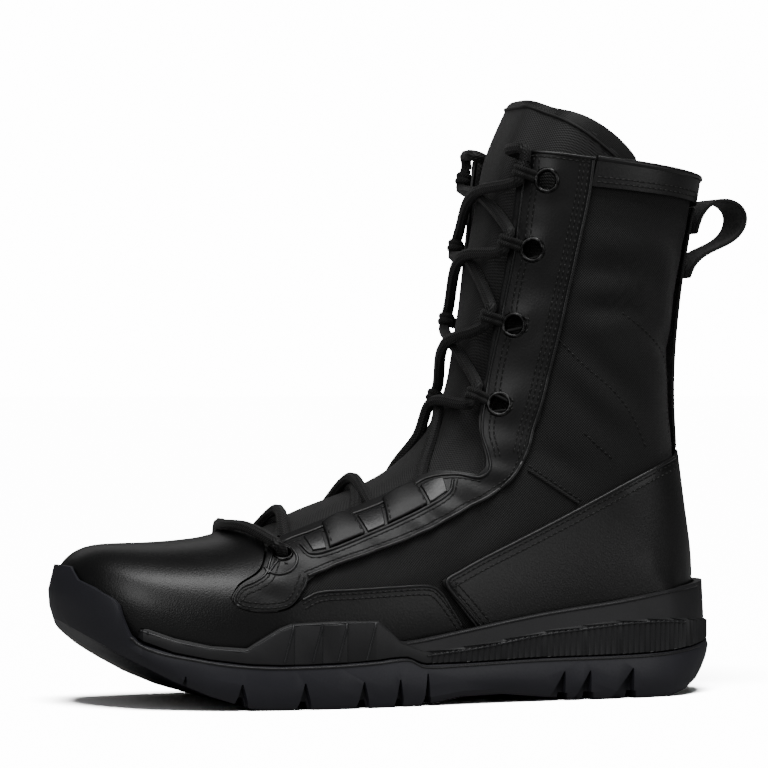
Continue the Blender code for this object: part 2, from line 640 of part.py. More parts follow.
def make_upper(last, facing, material):
    """The boot's one hollow wall: both sides, open at collar, throat and underneath."""
    rows = [np.linspace(k, k + 1, count + 1)[:-1] for k, count in enumerate(UPPER_ROW_PIECES)]
    rows = np.unique(np.concatenate(rows + [[COLLAR_ROW, facing.front]]))
    sheets = []
    for side in (-1, 1):
        top = facing.throat(rows)[:, None]
        share = np.array(UPPER_SHARES)[None, :]
        w = np.concatenate((top + (1.0 - top) * share, np.full((len(rows), 1), TURNED_IN)), axis=1)
        u = np.repeat(rows[:, None], w.shape[1], axis=1)
        sheets.append(panel(last, u, side * w, 0.0, -WALL))
    return make_sheet_solid("upper", sheets, material)


def make_vamp(last, facing, material):
    """Leather toe, with its mudguard running back along each side under the facing's tab."""
    tip = last.locate(FACING[0].x_edge - 0.4, 0.5 * (FACING[0].z_edge + FACING[0].z_outer))
    toe_rows = np.concatenate((np.arange(0, 4), [4.0, 4.5, 5.0, 5.5, tip[0]]))
    split = np.interp(toe_rows, [0.0, tip[0]], [tip[1], tip[1]])
    above, below = (7, 4)
    down = np.linspace(0, 1, below + 1)[None, 1:]
    w = np.concatenate((split[:, None] * np.linspace(0, 1, above + 1)[None, :],
                        split[:, None] + (LOW_EDGE - split[:, None]) * down), axis=1)
    u = np.repeat(toe_rows[:, None], w.shape[1], axis=1)
    sheets = both_sides(last, u, w, OVER, LIFT)

    border = [tip]
    for row in FACING[1:THROAT_ROW + 1]:
        border.append(last.locate(row.x_edge - 0.5, row.z_edge + 0.5))
    border = np.array(border)
    ridge = np.linspace(tip[0], facing.front - 0.02, len(border))
    ridge = np.stack((ridge, np.zeros(len(border))), axis=1)
    sheets += both_sides(last, *between(ridge, border, above), OVER, LIFT)

    top = np.array([tip] + [last.locate(row.x_top, row.z_top) for row in MUDGUARD])
    low = np.array([[tip[0], LOW_EDGE]] + [[last.row_at_low(row.x_low), LOW_EDGE] for row in MUDGUARD])
    sheets += both_sides(last, *between(top, low, below), OVER, LIFT)
    return make_sheet_solid("vamp", sheets, material)


def make_counter(last, material):
    """Leather heel counter, wrapped round the back from side to side."""
    top = [last.locate(row.x_top, row.z_top) for row in COUNTER]
    top.append([float(last.row_at_back(COUNTER_BACK_HEIGHT)), 1.0])
    low = [[last.row_at_low(row.x_low), LOW_EDGE] for row in COUNTER]
    low.append([HEEL_ROW + 0.3, 1.0])
    last_row = len(COUNTER) - 1
    steps = np.concatenate((np.arange(0, last_row), np.linspace(last_row, last_row + 1, 4)))
    grid = between(resample(top, steps), resample(low, steps), 6)
    return make_sheet_solid("counter", both_sides(last, *grid, OVER, LIFT), material)


def make_facings(last, facing, material):
    """Leather eyestays along the throat, one each side, with a rounded tab over the vamp."""
    steps = np.unique(np.concatenate((np.arange(len(FACING)), np.arange(9.5, 12.0), np.arange(16.5, 22.0))))
    u, w = between(resample(facing.edge, steps), resample(facing.outer, steps), 4)
    lateral = make_sheet_solid("eyestay_lateral", [panel(last, u, -w, OVER, LIFT)], material)
    medial = make_sheet_solid("eyestay_medial", [panel(last, u, w, OVER, LIFT)], material)
    return lateral, medial


def make_tunnels(last, facing, material):
    """Raised leather tunnels on the lower facing that the lace runs through."""
    for number, (start, end) in enumerate(TUNNELS, start=1):
        steps = np.linspace(start, end, 3)
        edge = resample(facing.edge, steps)
        outer = resample(facing.outer, steps)
        near = edge + (outer - edge) * 0.05
        far = edge + (outer - edge) * TUNNEL_DEPTH
        u, w = between(near, far, 4)
        hump = np.outer(TUNNEL_SWELL, TUNNEL_HUMP)
        for name, side in (("lateral", -1), ("medial", 1)):
            top = last.at(u, side * w, OVER + LIFT + LEATHER + hump)
            under = last.at(u, side * w, np.full(u.shape, OVER + LIFT))
            make_sheet_solid(f"lace_tunnel_{name}_{number}", [(top, under)], material)


def make_cuff(last, material):
    """Leather band round the collar, from one eyestay to the other."""
    top, low = ([], [])
    for row in CUFF:
        share = (row.x_collar - LAST[COLLAR_ROW].x_low)
        share /= LAST[COLLAR_ROW].x_top - LAST[COLLAR_ROW].x_low
        rise = LAST[COLLAR_ROW].z_top - LAST[COLLAR_ROW].z_low
        spot = last.locate(row.x_collar, LAST[COLLAR_ROW].z_low + share * rise)
        top.append([COLLAR_ROW, spot[1]])
        low.append(last.locate(row.x_low, row.z_low))
    top.append([COLLAR_ROW, 1.0])
    low.append([float(last.row_at_back(CUFF_BACK_HEIGHT)), 1.0])
    steps = np.concatenate((np.arange(0.0, 4.0, 0.5), np.linspace(4.0, 5.0, 5)))
    grid = between(resample(top, steps), resample(low, steps), 2)
    return make_sheet_solid("cuff", both_sides(last, *grid, OVER, LIFT), material)


def make_back_strap(last, material):
    """Webbing down the back of the shaft, from the cuff to the counter."""
    ends = last.row_at_back([COUNTER_BACK_HEIGHT + 0.9, CUFF_BACK_HEIGHT - 0.6])
    rows = np.linspace(ends[0], ends[1], 7)
    half = 0.5 * LOOP_WIDTH - 1.0
    reach = half / last.half_girth(rows)[:, None]
    w = 1.0 - reach * np.linspace(1.0, 0.0, 3)[None, :]
    u = np.repeat(rows[:, None], w.shape[1], axis=1)
    return make_sheet_solid("back_strap", both_sides(last, u, w, OVER, LIFT), material)


def make_tongue(last, facing, material):
    """Padded cloth tongue: sewn in at the vamp, tucked under the facings, standing above them."""
    tucked, sewn_from, sewn_to = (facing.front + step for step in TONGUE_SEWN)
    wing_top, wing_reach = last.locate(TONGUE_WING.x, TONGUE_WING.z)
    shares = np.linspace(0.0, 1.0, TONGUE_ROWS) ** 1.5
    columns = np.array(TONGUE_COLUMNS)
    columns = np.concatenate((-columns[:0:-1], columns))
    share, column = np.meshgrid(shares, columns, indexing="ij")
    top = TONGUE_TOP_ROW - (TONGUE_TOP_ROW - wing_top) * (np.abs(column) / columns[-1]) ** 3
    u = tucked + (top - tucked) * share
    girth = last.half_girth(u)
    opening = np.maximum(facing.throat(np.minimum(u, COLLAR_ROW)), TONGUE_LEAST_HALF / girth)
    half = opening + TONGUE_TUCK / girth
    half = half + (wing_reach - half) * ease(TONGUE_WIDENS, wing_top, u)
    turn = TONGUE_TURN
    beyond = turn * opening + (half - turn * opening) * (np.abs(column) - turn) / (columns[-1] - turn)
    w = np.sign(column) * np.where(np.abs(column) > turn, beyond, np.abs(column) * opening)
    inside = 1.0 - ease(0.5 * turn, turn, np.abs(column))
    sewn = ease(sewn_from, sewn_to, u)
    sunk = smooth(*zip(*TONGUE_SUNK), u)
    lift = -sunk + (sunk - 1.0) * inside * sewn
    thick = TONGUE_THICKNESS - TONGUE_EDGE_THINNER * (np.abs(column) / columns[-1]) ** 3
    thick = thick * (1.0 - TONGUE_TOP_THINNER * ease(0.93, 1.0, share))
    outer = last.at(u, w, lift)
    inner = last.at(u, w, lift - thick)
    return make_sheet_solid("tongue", [(outer, inner)], material)


def make_insole(last, material):
    """Footbed, just above the upper's turned-in edge."""
    outer = np.empty((len(INSOLE_ROWS), 3, 3))
    for i, u in enumerate(INSOLE_ROWS):
        row = {name: np.interp(u, last.u_axis, column) for name, column in last.section_columns.items()}
        outer[i, :, 0] = row["x_low"]
        outer[i, :, 1] = row["y_low"] + np.linspace(INSOLE_INSET - row["low_lat"],
                                                      row["low_med"] - INSOLE_INSET, 3)
        outer[i, :, 2] = row["z_low"] + WALL + 2 * GAP + INSOLE_THICKNESS
    inner = outer - np.array([0.0, 0.0, INSOLE_THICKNESS])
    return make_sheet_solid("insole", [(outer, inner)], material)


def make_dish(last):
    """The closed last, swollen by the leather that wraps it: what the sole is hollowed by."""
    rows = np.concatenate(([0.0, 0.4], np.arange(1, 13), np.arange(13, 16, 0.5),
                           np.arange(16, COLLAR_ROW + 1)))
    wall = np.concatenate((np.linspace(0.0, 0.8, 9), np.linspace(0.84, 1.0, 5)))
    w = np.concatenate((wall, [1.08, 1.5, 2.0]))
    swell = np.concatenate((np.full(len(wall), DISH_CLEARANCE), np.full(3, 2 * GAP)))
    w = np.concatenate((-w[::-1], w[1:]))
    swell = np.concatenate((swell[::-1], swell[1:]))
    u_grid = np.repeat(rows[:, None], len(w), axis=1)
    w_grid = np.repeat(w[None, :], len(rows), axis=0)
    swell = np.where(u_grid < HEEL_ROW, swell[None, :], DISH_CLEARANCE)
    points = last.at(u_grid, w_grid, swell)
    columns = len(w)
    faces = []
    for i in range(len(rows) - 1):
        for j in range(columns - 1):
            corner = i * columns + j
            faces.append((corner, corner + 1, corner + columns + 1, corner + columns))
    flat = points.reshape(-1, 3)
    flat, _, faces = weld(flat, flat, faces)
    uses = {}
    for face in faces:
        for a, b in zip(face, face[1:] + face[:1]):
            uses.setdefault((min(a, b), max(a, b)), []).append((a, b))
    rim = {b: a for (a, b) in (sides[0] for sides in uses.values() if len(sides) == 1)}
    start = next(iter(rim))
    loop = [start]
    while rim[loop[-1]] != start:
        loop.append(rim[loop[-1]])
    faces.append(loop)
    return flat, faces


class SolePlan:
    """The sole's outline in plan, as one closed smooth loop, and rings drawn inside it."""

    def __init__(self):
        lateral = [(row.x, row.lateral) for row in SOLE]
        medial = [(row.x, row.medial) for row in SOLE[-2:0:-1]]
        corner = np.array(lateral + medial)
        count = len(corner)
        chord = np.linalg.norm(np.roll(corner, -1, axis=0) - corner, axis=1)
        before = np.roll(chord, 1)
        slope = (np.roll(corner, -1, axis=0) - np.roll(corner, 1, axis=0)) / (chord + before)[:, None]
        points = []
        for k in range(count):
            share = np.linspace(0, 1, 24, endpoint=False)[:, None]
            left = 1 - share
            after = (k + 1) % count
            points.append(corner[k] * (1 + 2 * share) * left ** 2
                          + corner[after] * (3 - 2 * share) * share ** 2
                          + chord[k] * share * left * (slope[k] * left - slope[after] * share))
        self.loop = np.concatenate(points)
        run = np.linalg.norm(np.roll(self.loop, -1, axis=0) - self.loop, axis=1)
        self.run = np.concatenate(([0.0], np.cumsum(run)))
        self.heel_run = self.run[24 * (len(SOLE) - 1)]
        self.length = self.run[-1]
        closed = np.concatenate((self.loop, self.loop[:1]))
        tangent = np.roll(self.loop, -1, axis=0) - np.roll(self.loop, 1, axis=0)
        tangent /= np.linalg.norm(tangent, axis=1, keepdims=True)
        inward = np.stack((-tangent[:, 1], tangent[:, 0]), axis=1)
        self.closed = closed
        self.inward = np.concatenate((inward, inward[:1]))

    def even_runs(self, steps):
        """Distances round the outline from the toe tip, closer at toe and heel, as many each side."""
        share = np.linspace(0.0, 1.0, steps + 1)
        share = share - 0.5 * np.sin(2 * math.pi * share) / (2 * math.pi)
        lateral = self.heel_run * share
        medial = self.heel_run + (self.length - self.heel_run) * share[1:-1]
        return np.concatenate((lateral, medial))

    def runs_at(self, x):
        """Distances round the outline where the lateral and the medial side pass x."""
        half = self.run <= self.heel_run + 1e-9
        lateral = np.interp(x, self.closed[half, 0], self.run[half])
        other = ~half
        medial = np.interp(x, self.closed[other, 0][::-1], self.run[other][::-1])
        return lateral, medial

    def spots(self, runs):
        """Outline point and inward direction at each distance."""
        point = np.stack([np.interp(runs, self.run, self.closed[:, k]) for k in range(2)], axis=1)
        inward = np.stack([np.interp(runs, self.run, self.inward[:, k]) for k in range(2)], axis=1)
        return point, inward / np.linalg.norm(inward, axis=1, keepdims=True)

    def ring(self, runs, inset, height, own_height=False):
        """A closed ring of points. Inset and height are functions of the outline's x, or arrays or
        numbers. With own_height the height is read at each point's own x."""
        point, inward = self.spots(runs)
        depth = inset(point[:, 0]) if callable(inset) else inset
        place = point + inward * np.broadcast_to(depth, len(runs))[:, None]
        level = height(place[:, 0] if own_height else point[:, 0])
        return np.column_stack((place, level))


def loft(rings):
    """Faces between closed rings of unlike counts, walked by distance, with ladder caps."""
    points, faces, start = ([], [], 0)
    starts = []
    for _, ring in rings:
        starts.append(start)
        points.append(ring)
        start += len(ring)
    for (lower_runs, _), (upper_runs, _), a0, b0 in zip(rings, rings[1:], starts, starts[1:]):
        if len(lower_runs) == len(upper_runs):
            count = len(lower_runs)
            for k in range(count):
                after = (k + 1) % count
                faces.append((a0 + k, a0 + after, b0 + after, b0 + k))
            continue
        i, j = (0, 0)
        while i < len(lower_runs) or j < len(upper_runs):
            next_a = lower_runs[i + 1] if i + 1 < len(lower_runs) else math.inf
            next_b = upper_runs[j + 1] if j + 1 < len(upper_runs) else math.inf
            if i == len(lower_runs):
                next_a, next_b = (math.inf, -math.inf)
            elif j == len(upper_runs):
                next_a, next_b = (-math.inf, math.inf)
            a, b = (a0 + i % len(lower_runs), b0 + j % len(upper_runs))
            if next_a <= next_b:
                i += 1
                faces.append((a, a0 + i % len(lower_runs), b))
            else:
                j += 1
                faces.append((a, b0 + j % len(upper_runs), b))
    for first, flip in ((starts[0], True), (starts[-1], False)):
        count = len(rings[0][1])
        half = count // 2
        for k in range(half):
            corners = [k, k + 1, (count - k - 1) % count, (count - k) % count]
            corners = [first + corner for corner in dict.fromkeys(corners)]
            faces.append(tuple(reversed(corners)) if flip else tuple(corners))
    return np.concatenate(points), faces


def bottom_line(x):
    return line_height(SOLE_BOTTOM, x)


def outsole_line(x):
    return line_height(OUTSOLE_TOP, x)


def bevel_heel(ring, share):
    """Lifts a ring, at its share of the outsole's side, where the heel's bevel is higher."""
    turn = math.radians(HEEL_BEVEL_TURN)
    reach = ring[:, 0] * math.cos(turn) - ring[:, 1] * math.sin(turn)
    bevel = (1.0 - share) * line_height(HEEL_BEVEL, reach) + share * outsole_line(ring[:, 0])
    level = np.where(reach > HEEL_BEVEL[0].x, np.maximum(ring[:, 2], bevel), ring[:, 2])
    return np.column_stack((ring[:, :2], level))


def rim_line(x):
    return line_height(MIDSOLE_TOP, x)


def foot_line(x):
    """Where the midsole's side starts: on the outsole, or behind the toe bumper."""
    behind = line_height(MIDSOLE_FOOT, x)
    return np.where(np.asarray(x) < MIDSOLE_FOOT[-1].x, behind, outsole_line(x))


def seat_line(x):
    """Underside of the midsole's side, a seam above the outsole that is wider at the toe."""
    return foot_line(x) + GAP + 0.8 * (1.0 - ease(30.0, 45.0, x))


def core_line(x):
    """Underside of the midsole's core, inside the outsole."""
    return np.minimum(bottom_line(x) + 3.6 + (SOLE_FLOOR - 3.6) * ease(50, 80, x), foot_line(x) - 1.5)


def band_line(x):
    """Top of the midsole's side band: the ribs at the heel, all but the lip at the forefoot."""
    fore = rim_line(x) - RIM_LIP
    rear = line_height(RIB_TOP, x)
    return fore + (rear - fore) * ease(140, 154, x)


def toe_inset(x):
    """The midsole steps in behind the toe bumper."""
    return BUMPER_WALL * (1.0 - ease(23.0, 30.0, x))


def midsole_inset(x):
    """The midsole stops short of the toe tip, where the bumper meets the vamp."""
    return toe_inset(x) + 3.5 * (1.0 - ease(3.0, 14.0, x))


def make_sole_solids(last, materials):
    """Outsole and midsole, and the forms that hollow and notch them."""
    plan = SolePlan()
    turns = np.concatenate(plan.runs_at(np.array(SIDE_TURNS)))
    coarse = np.sort(np.concatenate((plan.even_runs(SOLE_STEPS), turns)))
    core_edge = lambda grow: (lambda x: CORE_INSET + toe_inset(x) - grow)

    def midsole_rings():
        """Rings of the midsole: its core in the outsole, then its side with plates and ribs."""
        edges = []
        for x in FLEX_EDGES:
            edges += [x - PLATE_EDGE, x + PLATE_EDGE]
        ribs_start = plan.runs_at(np.array([RIBS_FROM]))
        rib_count = int((ribs_start[1][0] - ribs_start[0][0]) / RIB_PITCH)
        ribs = np.linspace(ribs_start[0][0], ribs_start[1][0], 2 * rib_count + 1)
        flex = np.concatenate(plan.runs_at(np.array(edges)))
        plain = coarse[(coarse < ribs[0] - 2) | (coarse > ribs[-1] + 2)]
        fine = np.unique(np.concatenate((plain, flex, ribs)))
        fine = fine[np.concatenate(([True], np.diff(fine) > 0.2))]
        spot = plan.spots(fine)[0][:, 0]
        carve = np.zeros(len(fine))
        lows = np.searchsorted(ribs, fine - 1e-6) % 2 == 1
        in_ribs = (fine >= ribs[0] - 1e-6) & (fine <= ribs[-1] + 1e-6)
        carve[in_ribs & lows] = RIB_DEPTH
        for start, end in zip(FLEX_EDGES, FLEX_EDGES[1:]):
            plate = (spot > start) & (spot < end)
            carve[plate] = FLEX_DEPTH * (end - spot[plate]) / (end - start)
        heel = lambda x: ease(140, 160, x)
        side = midsole_inset(spot) + SIDE_INSET + carve
        return [
            (coarse, plan.ring(coarse, lambda x: core_edge(0.0)(x) + CORE_BORDER, core_line)),
            (coarse, plan.ring(coarse, core_edge(0.0), core_line)),
            (coarse, plan.ring(coarse, core_edge(0.0), seat_line)),
            (coarse, plan.ring(coarse, lambda x: midsole_inset(x) + LIP_INSET, seat_line)),
            (fine, plan.ring(fine, side, lambda x: seat_line(x) + LEDGE)),
            (fine, plan.ring(fine, side, band_line)),
            (coarse, plan.ring(coarse, lambda x: midsole_inset(x) + LIP_INSET,
                               lambda x: band_line(x) + LIP_HEIGHT)),
            (coarse, plan.ring(coarse, lambda x: midsole_inset(x) + RIM_INSET + HEEL_RIM_INSET * heel(x),
                               rim_line)),
            (coarse, plan.ring(coarse, lambda x: midsole_inset(x) + RIM_DEPTH, rim_line)),
        ]

    flare = lambda x: TOE_FLARE * ease(3.0, 10.0, x) * (1.0 - ease(24.0, 40.0, x))
    lean = lambda x: SIDEWALL_LEAN + TOE_LEAN * (1.0 - ease(2.0, 9.0, x)) - flare(x)
    shelf = lambda x: np.maximum(toe_inset(x), lean(x) + LEDGE)
    ledge_line = lambda x: np.minimum(outsole_line(x), foot_line(x))
    rise = lambda share: (lambda x: (1.0 - share) * bottom_line(x) + share * outsole_line(x))
    outsole_rings = [
        (coarse, bevel_heel(plan.ring(coarse, TREAD_BORDER, bottom_line, own_height=True), 0.0)),
        (coarse, bevel_heel(plan.ring(coarse, TREAD_EDGE, bottom_line, own_height=True), 0.0)),
        (coarse, bevel_heel(plan.ring(coarse, SIDE_INSET, rise(0.18)), 0.18)),
        (coarse, bevel_heel(plan.ring(coarse, lambda x: -FLARE_SHARE * flare(x), rise(0.5)), 0.5)),
        (coarse, plan.ring(coarse, lean, outsole_line)),
        (coarse, plan.ring(coarse, shelf, outsole_line)),
        (coarse, plan.ring(coarse, lambda x: shelf(x) + 0.1 + LEDGE_STEP * ease(25, 31, x), ledge_line)),
        (coarse, plan.ring(coarse, core_edge(GAP), ledge_line)),
        (coarse, plan.ring(coarse, core_edge(GAP), lambda x: core_line(x) - GAP)),
        (coarse, plan.ring(coarse, lambda x: core_edge(GAP)(x) + CORE_BORDER, lambda x: core_line(x) - GAP)),
    ]
    dish = make_cutter("dish_form", *make_dish(last))
    outsole = make_object("outsole", *loft(outsole_rings), materials["rubber"])
    midsole = make_object("midsole", *loft(midsole_rings()), materials["foam"])
    cut(midsole, dish)
    cut(outsole, dish)
    cut(outsole, make_notches(plan))
    cut(outsole, make_grooves())
    return outsole, midsole


def make_cutter(name, points, faces):
    """A closed form that only cuts others."""
    item = closed_object(name, points, faces)
    item.hide_render = True
    item.display_type = "WIRE"
    return item


def cut(item, cutter):
    modifier = item.modifiers.new(cutter.name, "BOOLEAN")
    modifier.operation = "DIFFERENCE"
    modifier.object = cutter
    modifier.solver = "EXACT"


def prism(outline, low, high):
    """Points and faces of a side-view outline drawn out along y from low to high."""
    count = len(outline)
    points = [(x, low, z) for x, z in outline] + [(x, high, z) for x, z in outline]
    faces = [tuple(range(count)), tuple(reversed(range(count, 2 * count)))]
    for k in range(count):
        after = (k + 1) % count
        faces.append((k, count + k, count + after, after))
    return points, faces


def join_forms(forms):
    points, faces = ([], [])
    for part_points, part_faces in forms:
        start = len(points)
        points += list(part_points)
        faces += [tuple(start + corner for corner in face) for face in part_faces]
    return np.array(points), faces


def make_notches(plan):
    """Wedges that cut the outsole's side between its lugs."""
    forms = []
    for row in NOTCHES:
        floor = float(bottom_line(row.x))
        low = floor - BELOW_TREAD
        spread = 1.0 + BELOW_TREAD / (row.height - floor)
        outline = [(row.x - row.toe_run * spread, low), (row.x + row.heel_run * spread, low),
                   (row.x + NOTCH_TIP, row.height), (row.x - NOTCH_TIP, row.height)]
        lateral, medial = plan.runs_at(np.array([row.x]))
        outer = plan.spots(lateral)[0][0, 1]
        inner = plan.spots(medial)[0][0, 1]
        forms.append(prism(outline, outer - NOTCH_OUTSIDE, outer + NOTCH_REACH))
        forms.append(prism(outline, inner - NOTCH_REACH, inner + NOTCH_OUTSIDE))
    return make_cutter("notch_form", *join_forms(forms))


def make_grooves():
    """Shallow grooves across the tread, in line with the notches."""
    forms = []
    for row in NOTCHES[1:]:
        floor = float(bottom_line(row.x))
        low = floor - BELOW_TREAD
        top = floor + GROOVE_HEIGHT
        outline = [(row.x - GROOVE_FOOT, low), (row.x + GROOVE_FOOT, low),
                   (row.x + GROOVE_TIP, top), (row.x - GROOVE_TIP, top)]
        forms.append(prism(outline, -0.65 * BALL_WIDTH, 0.65 * BALL_WIDTH))
    return make_cutter("groove_form", *join_forms(forms))


def ribbon(path, thickness, place, width):
    """A strap: a path in a plane, given a thickness, and drawn out by a width across it."""
    path = np.asarray(path, float)
    tangent = np.gradient(path, axis=0)
    tangent /= np.linalg.norm(tangent, axis=1, keepdims=True)
    side = np.stack((-tangent[:, 1], tangent[:, 0]), axis=1) * thickness / 2
    outline = np.concatenate((path + side, (path - side)[::-1]))
    count = len(outline)
    points = [place(a, b, -width / 2) for a, b in outline] + [place(a, b, width / 2) for a, b in outline]
    faces = []
    for k in range(count):
        after = (k + 1) % count
        faces.append((k, after, count + after, count + k))
    length = len(path)
    for k in range(length - 1):
        near = (k, k + 1, count - 2 - k, count - 1 - k)
        faces.append(near)
        faces.append(tuple(count + corner for corner in reversed(near)))
    return np.array(points), faces


def make_pull_loop(last, material):
    """Webbing loop behind the cuff, sewn to the back strap at both ends."""
    path = [(last.back_x(row.z) + row.behind, row.z) for row in PULL_LOOP]
    points, faces = ribbon(path, WEBBING, lambda a, b, c: (a, c, b), LOOP_WIDTH)
    return make_object("pull_loop", points, faces, material)


def local_frame(last, u, w):
    """Point, normal, direction of a keeper towards the throat and direction up the edge, at (u, w)."""
    spot = last.at(u, w)
    normal = last.normal(u, w)
    rise = math.radians(KEEPER_SLOPE)
    inward = np.array([-math.cos(rise), 0.0, math.sin(rise)])
    inward[1] = -np.dot(inward, normal) / normal[1]
    inward /= np.linalg.norm(inward)
    upward = np.cross(normal, inward)
    if upward[2] + 0.2 * upward[0] < 0.0:
        upward = -upward
    return spot, normal, inward, upward


def turned(profile, sides, spot, axis, start):
    """A closed ring from a profile of (radius, height) turned about an axis."""
    other = np.cross(axis, start)
    points, faces = ([], [])
    count = len(profile)
    for k in range(sides):
        turn = 2 * math.pi * k / sides
        out = math.cos(turn) * start + math.sin(turn) * other
        points += [spot + radius * out + height * axis for radius, height in profile]
    for k in range(sides):
        after = (k + 1) % sides
        for j in range(count):
            nxt = (j + 1) % count
            faces.append((k * count + j, k * count + nxt, after * count + nxt, after * count + j))
    return np.array(points), faces


def make_grommets(last, holders, materials):
    """Turned grommets in the facings, with the holes they sit in, and webbing lace keepers."""
    seat = OVER + 2 * GAP
    profile = np.array([(GROMMET_BORE, -WALL), (GROMMET_BARREL, GROMMET_TAPER - WALL),
                        (GROMMET_BARREL, seat + GROMMET_TAPER), (GROMMET_FLANGE, seat),
                        (GROMMET_CROWN, seat + GROMMET_HEAD), (GROMMET_BORE + GROMMET_TAPER, seat)])
    spots = {}
    for name, side in (("lateral", -1), ("medial", 1)):
        bores = []
        for row in GROMMETS:
            u, w = last.locate(row.x, row.z)
            spot, normal, inward, upward = local_frame(last, u, side * w)
            spots[name, row.name] = (spot, normal, inward, upward)
            scaled = profile * np.array([row.scale, 1.0])
            make_object(f"grommet_{name}_{row.name}",
                        *turned(scaled, GROMMET_SIDES, spot, normal, inward), materials["metal"])
            ends = np.array([spot - BORE_REACH * normal, spot, spot + BORE_REACH * normal])
            bores.append(tube(ends, GROMMET_HOLE * row.scale + 0.2, GROMMET_SIDES))
            if row.scale == 1.0:
                make_keeper(name, row.name, spots[name, row.name], materials["webbing"])
        cutter = make_cutter(f"bore_form_{name}", *join_forms(bores))
        cut(holders["upper"], cutter)
        cut(holders[f"eyestay_{name}"], cutter)
    return spots


def make_keeper(side, number, frame, material):
    """A webbing tab out of the grommet's hole that hooks round the lace beyond the throat's edge."""
    spot, normal, inward, upward = frame
    round_lace = LACE_RADIUS + 2 * GAP + 0.6
    path = list(KEEPER_STEM)
    for turn in KEEPER_TURNS:
        path.append((KEEPER_REACH + round_lace * math.cos(math.radians(turn)),
                     KEEPER_RISE + round_lace * math.sin(math.radians(turn))))
    place = lambda a, b, c: spot + a * inward + b * normal + c * upward
    points, faces = ribbon(path, KEEPER_THICKNESS, place, KEEPER_WIDTH)
    make_object(f"lace_keeper_{side}_{number}", points, faces, material)


def smooth_route(points, spacing):
    """Points about a spacing apart on a smooth curve through a route."""
    points = np.array(points)
    run = np.concatenate(([0.0], np.cumsum(np.linalg.norm(np.diff(points, axis=0), axis=1))))
    slope = np.empty(points.shape)
    slope[1:-1] = (points[2:] - points[:-2]) / (run[2:] - run[:-2])[:, None]
    slope[0] = (points[1] - points[0]) / run[1]
    slope[-1] = (points[-1] - points[-2]) / (run[-1] - run[-2])
    at = [np.linspace(a, b, max(1, int(round((b - a) / spacing))) + 1)[:-1] for a, b in zip(run, run[1:])]
    at = np.concatenate(at + [run[-1:]])
    low = np.clip(np.searchsorted(run, at, side="right") - 1, 0, len(run) - 2)
    step = (run[low + 1] - run[low])[:, None]
    share = ((at - run[low]) / (run[low + 1] - run[low]))[:, None]
    left = 1 - share
    return (points[low] * (1 + 2 * share) * left ** 2 + points[low + 1] * (3 - 2 * share) * share ** 2
            + step * share * left * (slope[low] * left - slope[low + 1] * share))


def tube(route, radius, sides):
    """A closed tube along a route, turned as little as possible from point to point."""
    tangent = np.gradient(route, axis=0)
    tangent /= np.linalg.norm(tangent, axis=1, keepdims=True)
    across = np.cross(tangent[0], (0.0, 0.0, 1.0))
    points, faces = ([], [])
    for spot, ahead in zip(route, tangent):
        across = across - ahead * np.dot(across, ahead)
        across /= np.linalg.norm(across)
        other = np.cross(ahead, across)
        for k in range(sides):
            turn = 2 * math.pi * k / sides
            points.append(spot + radius * (math.cos(turn) * across + math.sin(turn) * other))
    for i in range(len(route) - 1):
        for k in range(sides):
            after = (k + 1) % sides
            faces.append((i * sides + k, i * sides + after, (i + 1) * sides + after, (i + 1) * sides + k))
    faces.append(tuple(reversed(range(sides))))
    faces.append(tuple(range((len(route) - 1) * sides, len(route) * sides)))
    return np.array(points), faces


def lace_spots(last, facing, spots, name, side):
    """Where the lace turns on one side: at the tunnels, then in the keepers. Each spot has the
    direction that the lace runs there."""
    turns = []
    for start, end in TUNNELS:
        rows = resample(facing.edge, np.array([start + 0.25, 0.5 * (start + end), end - 0.25]))
        beyond = LACE_TURN / last.half_girth(rows[:, 0])
        places = last.at(rows[:, 0], side * (rows[:, 1] - beyond), np.full(3, LACE_RADIUS + GAP))
        along = places[2] - places[0]
        turns.append((rows[1, 0], places[1], along / np.linalg.norm(along)))
    for row in GROMMETS[1:]:
        spot, normal, inward, upward = spots[name, row.name]
        u = last.locate(row.x, row.z)[0]
        turns.append((u, spot + KEEPER_REACH * inward + KEEPER_RISE * normal, upward))
    return turns


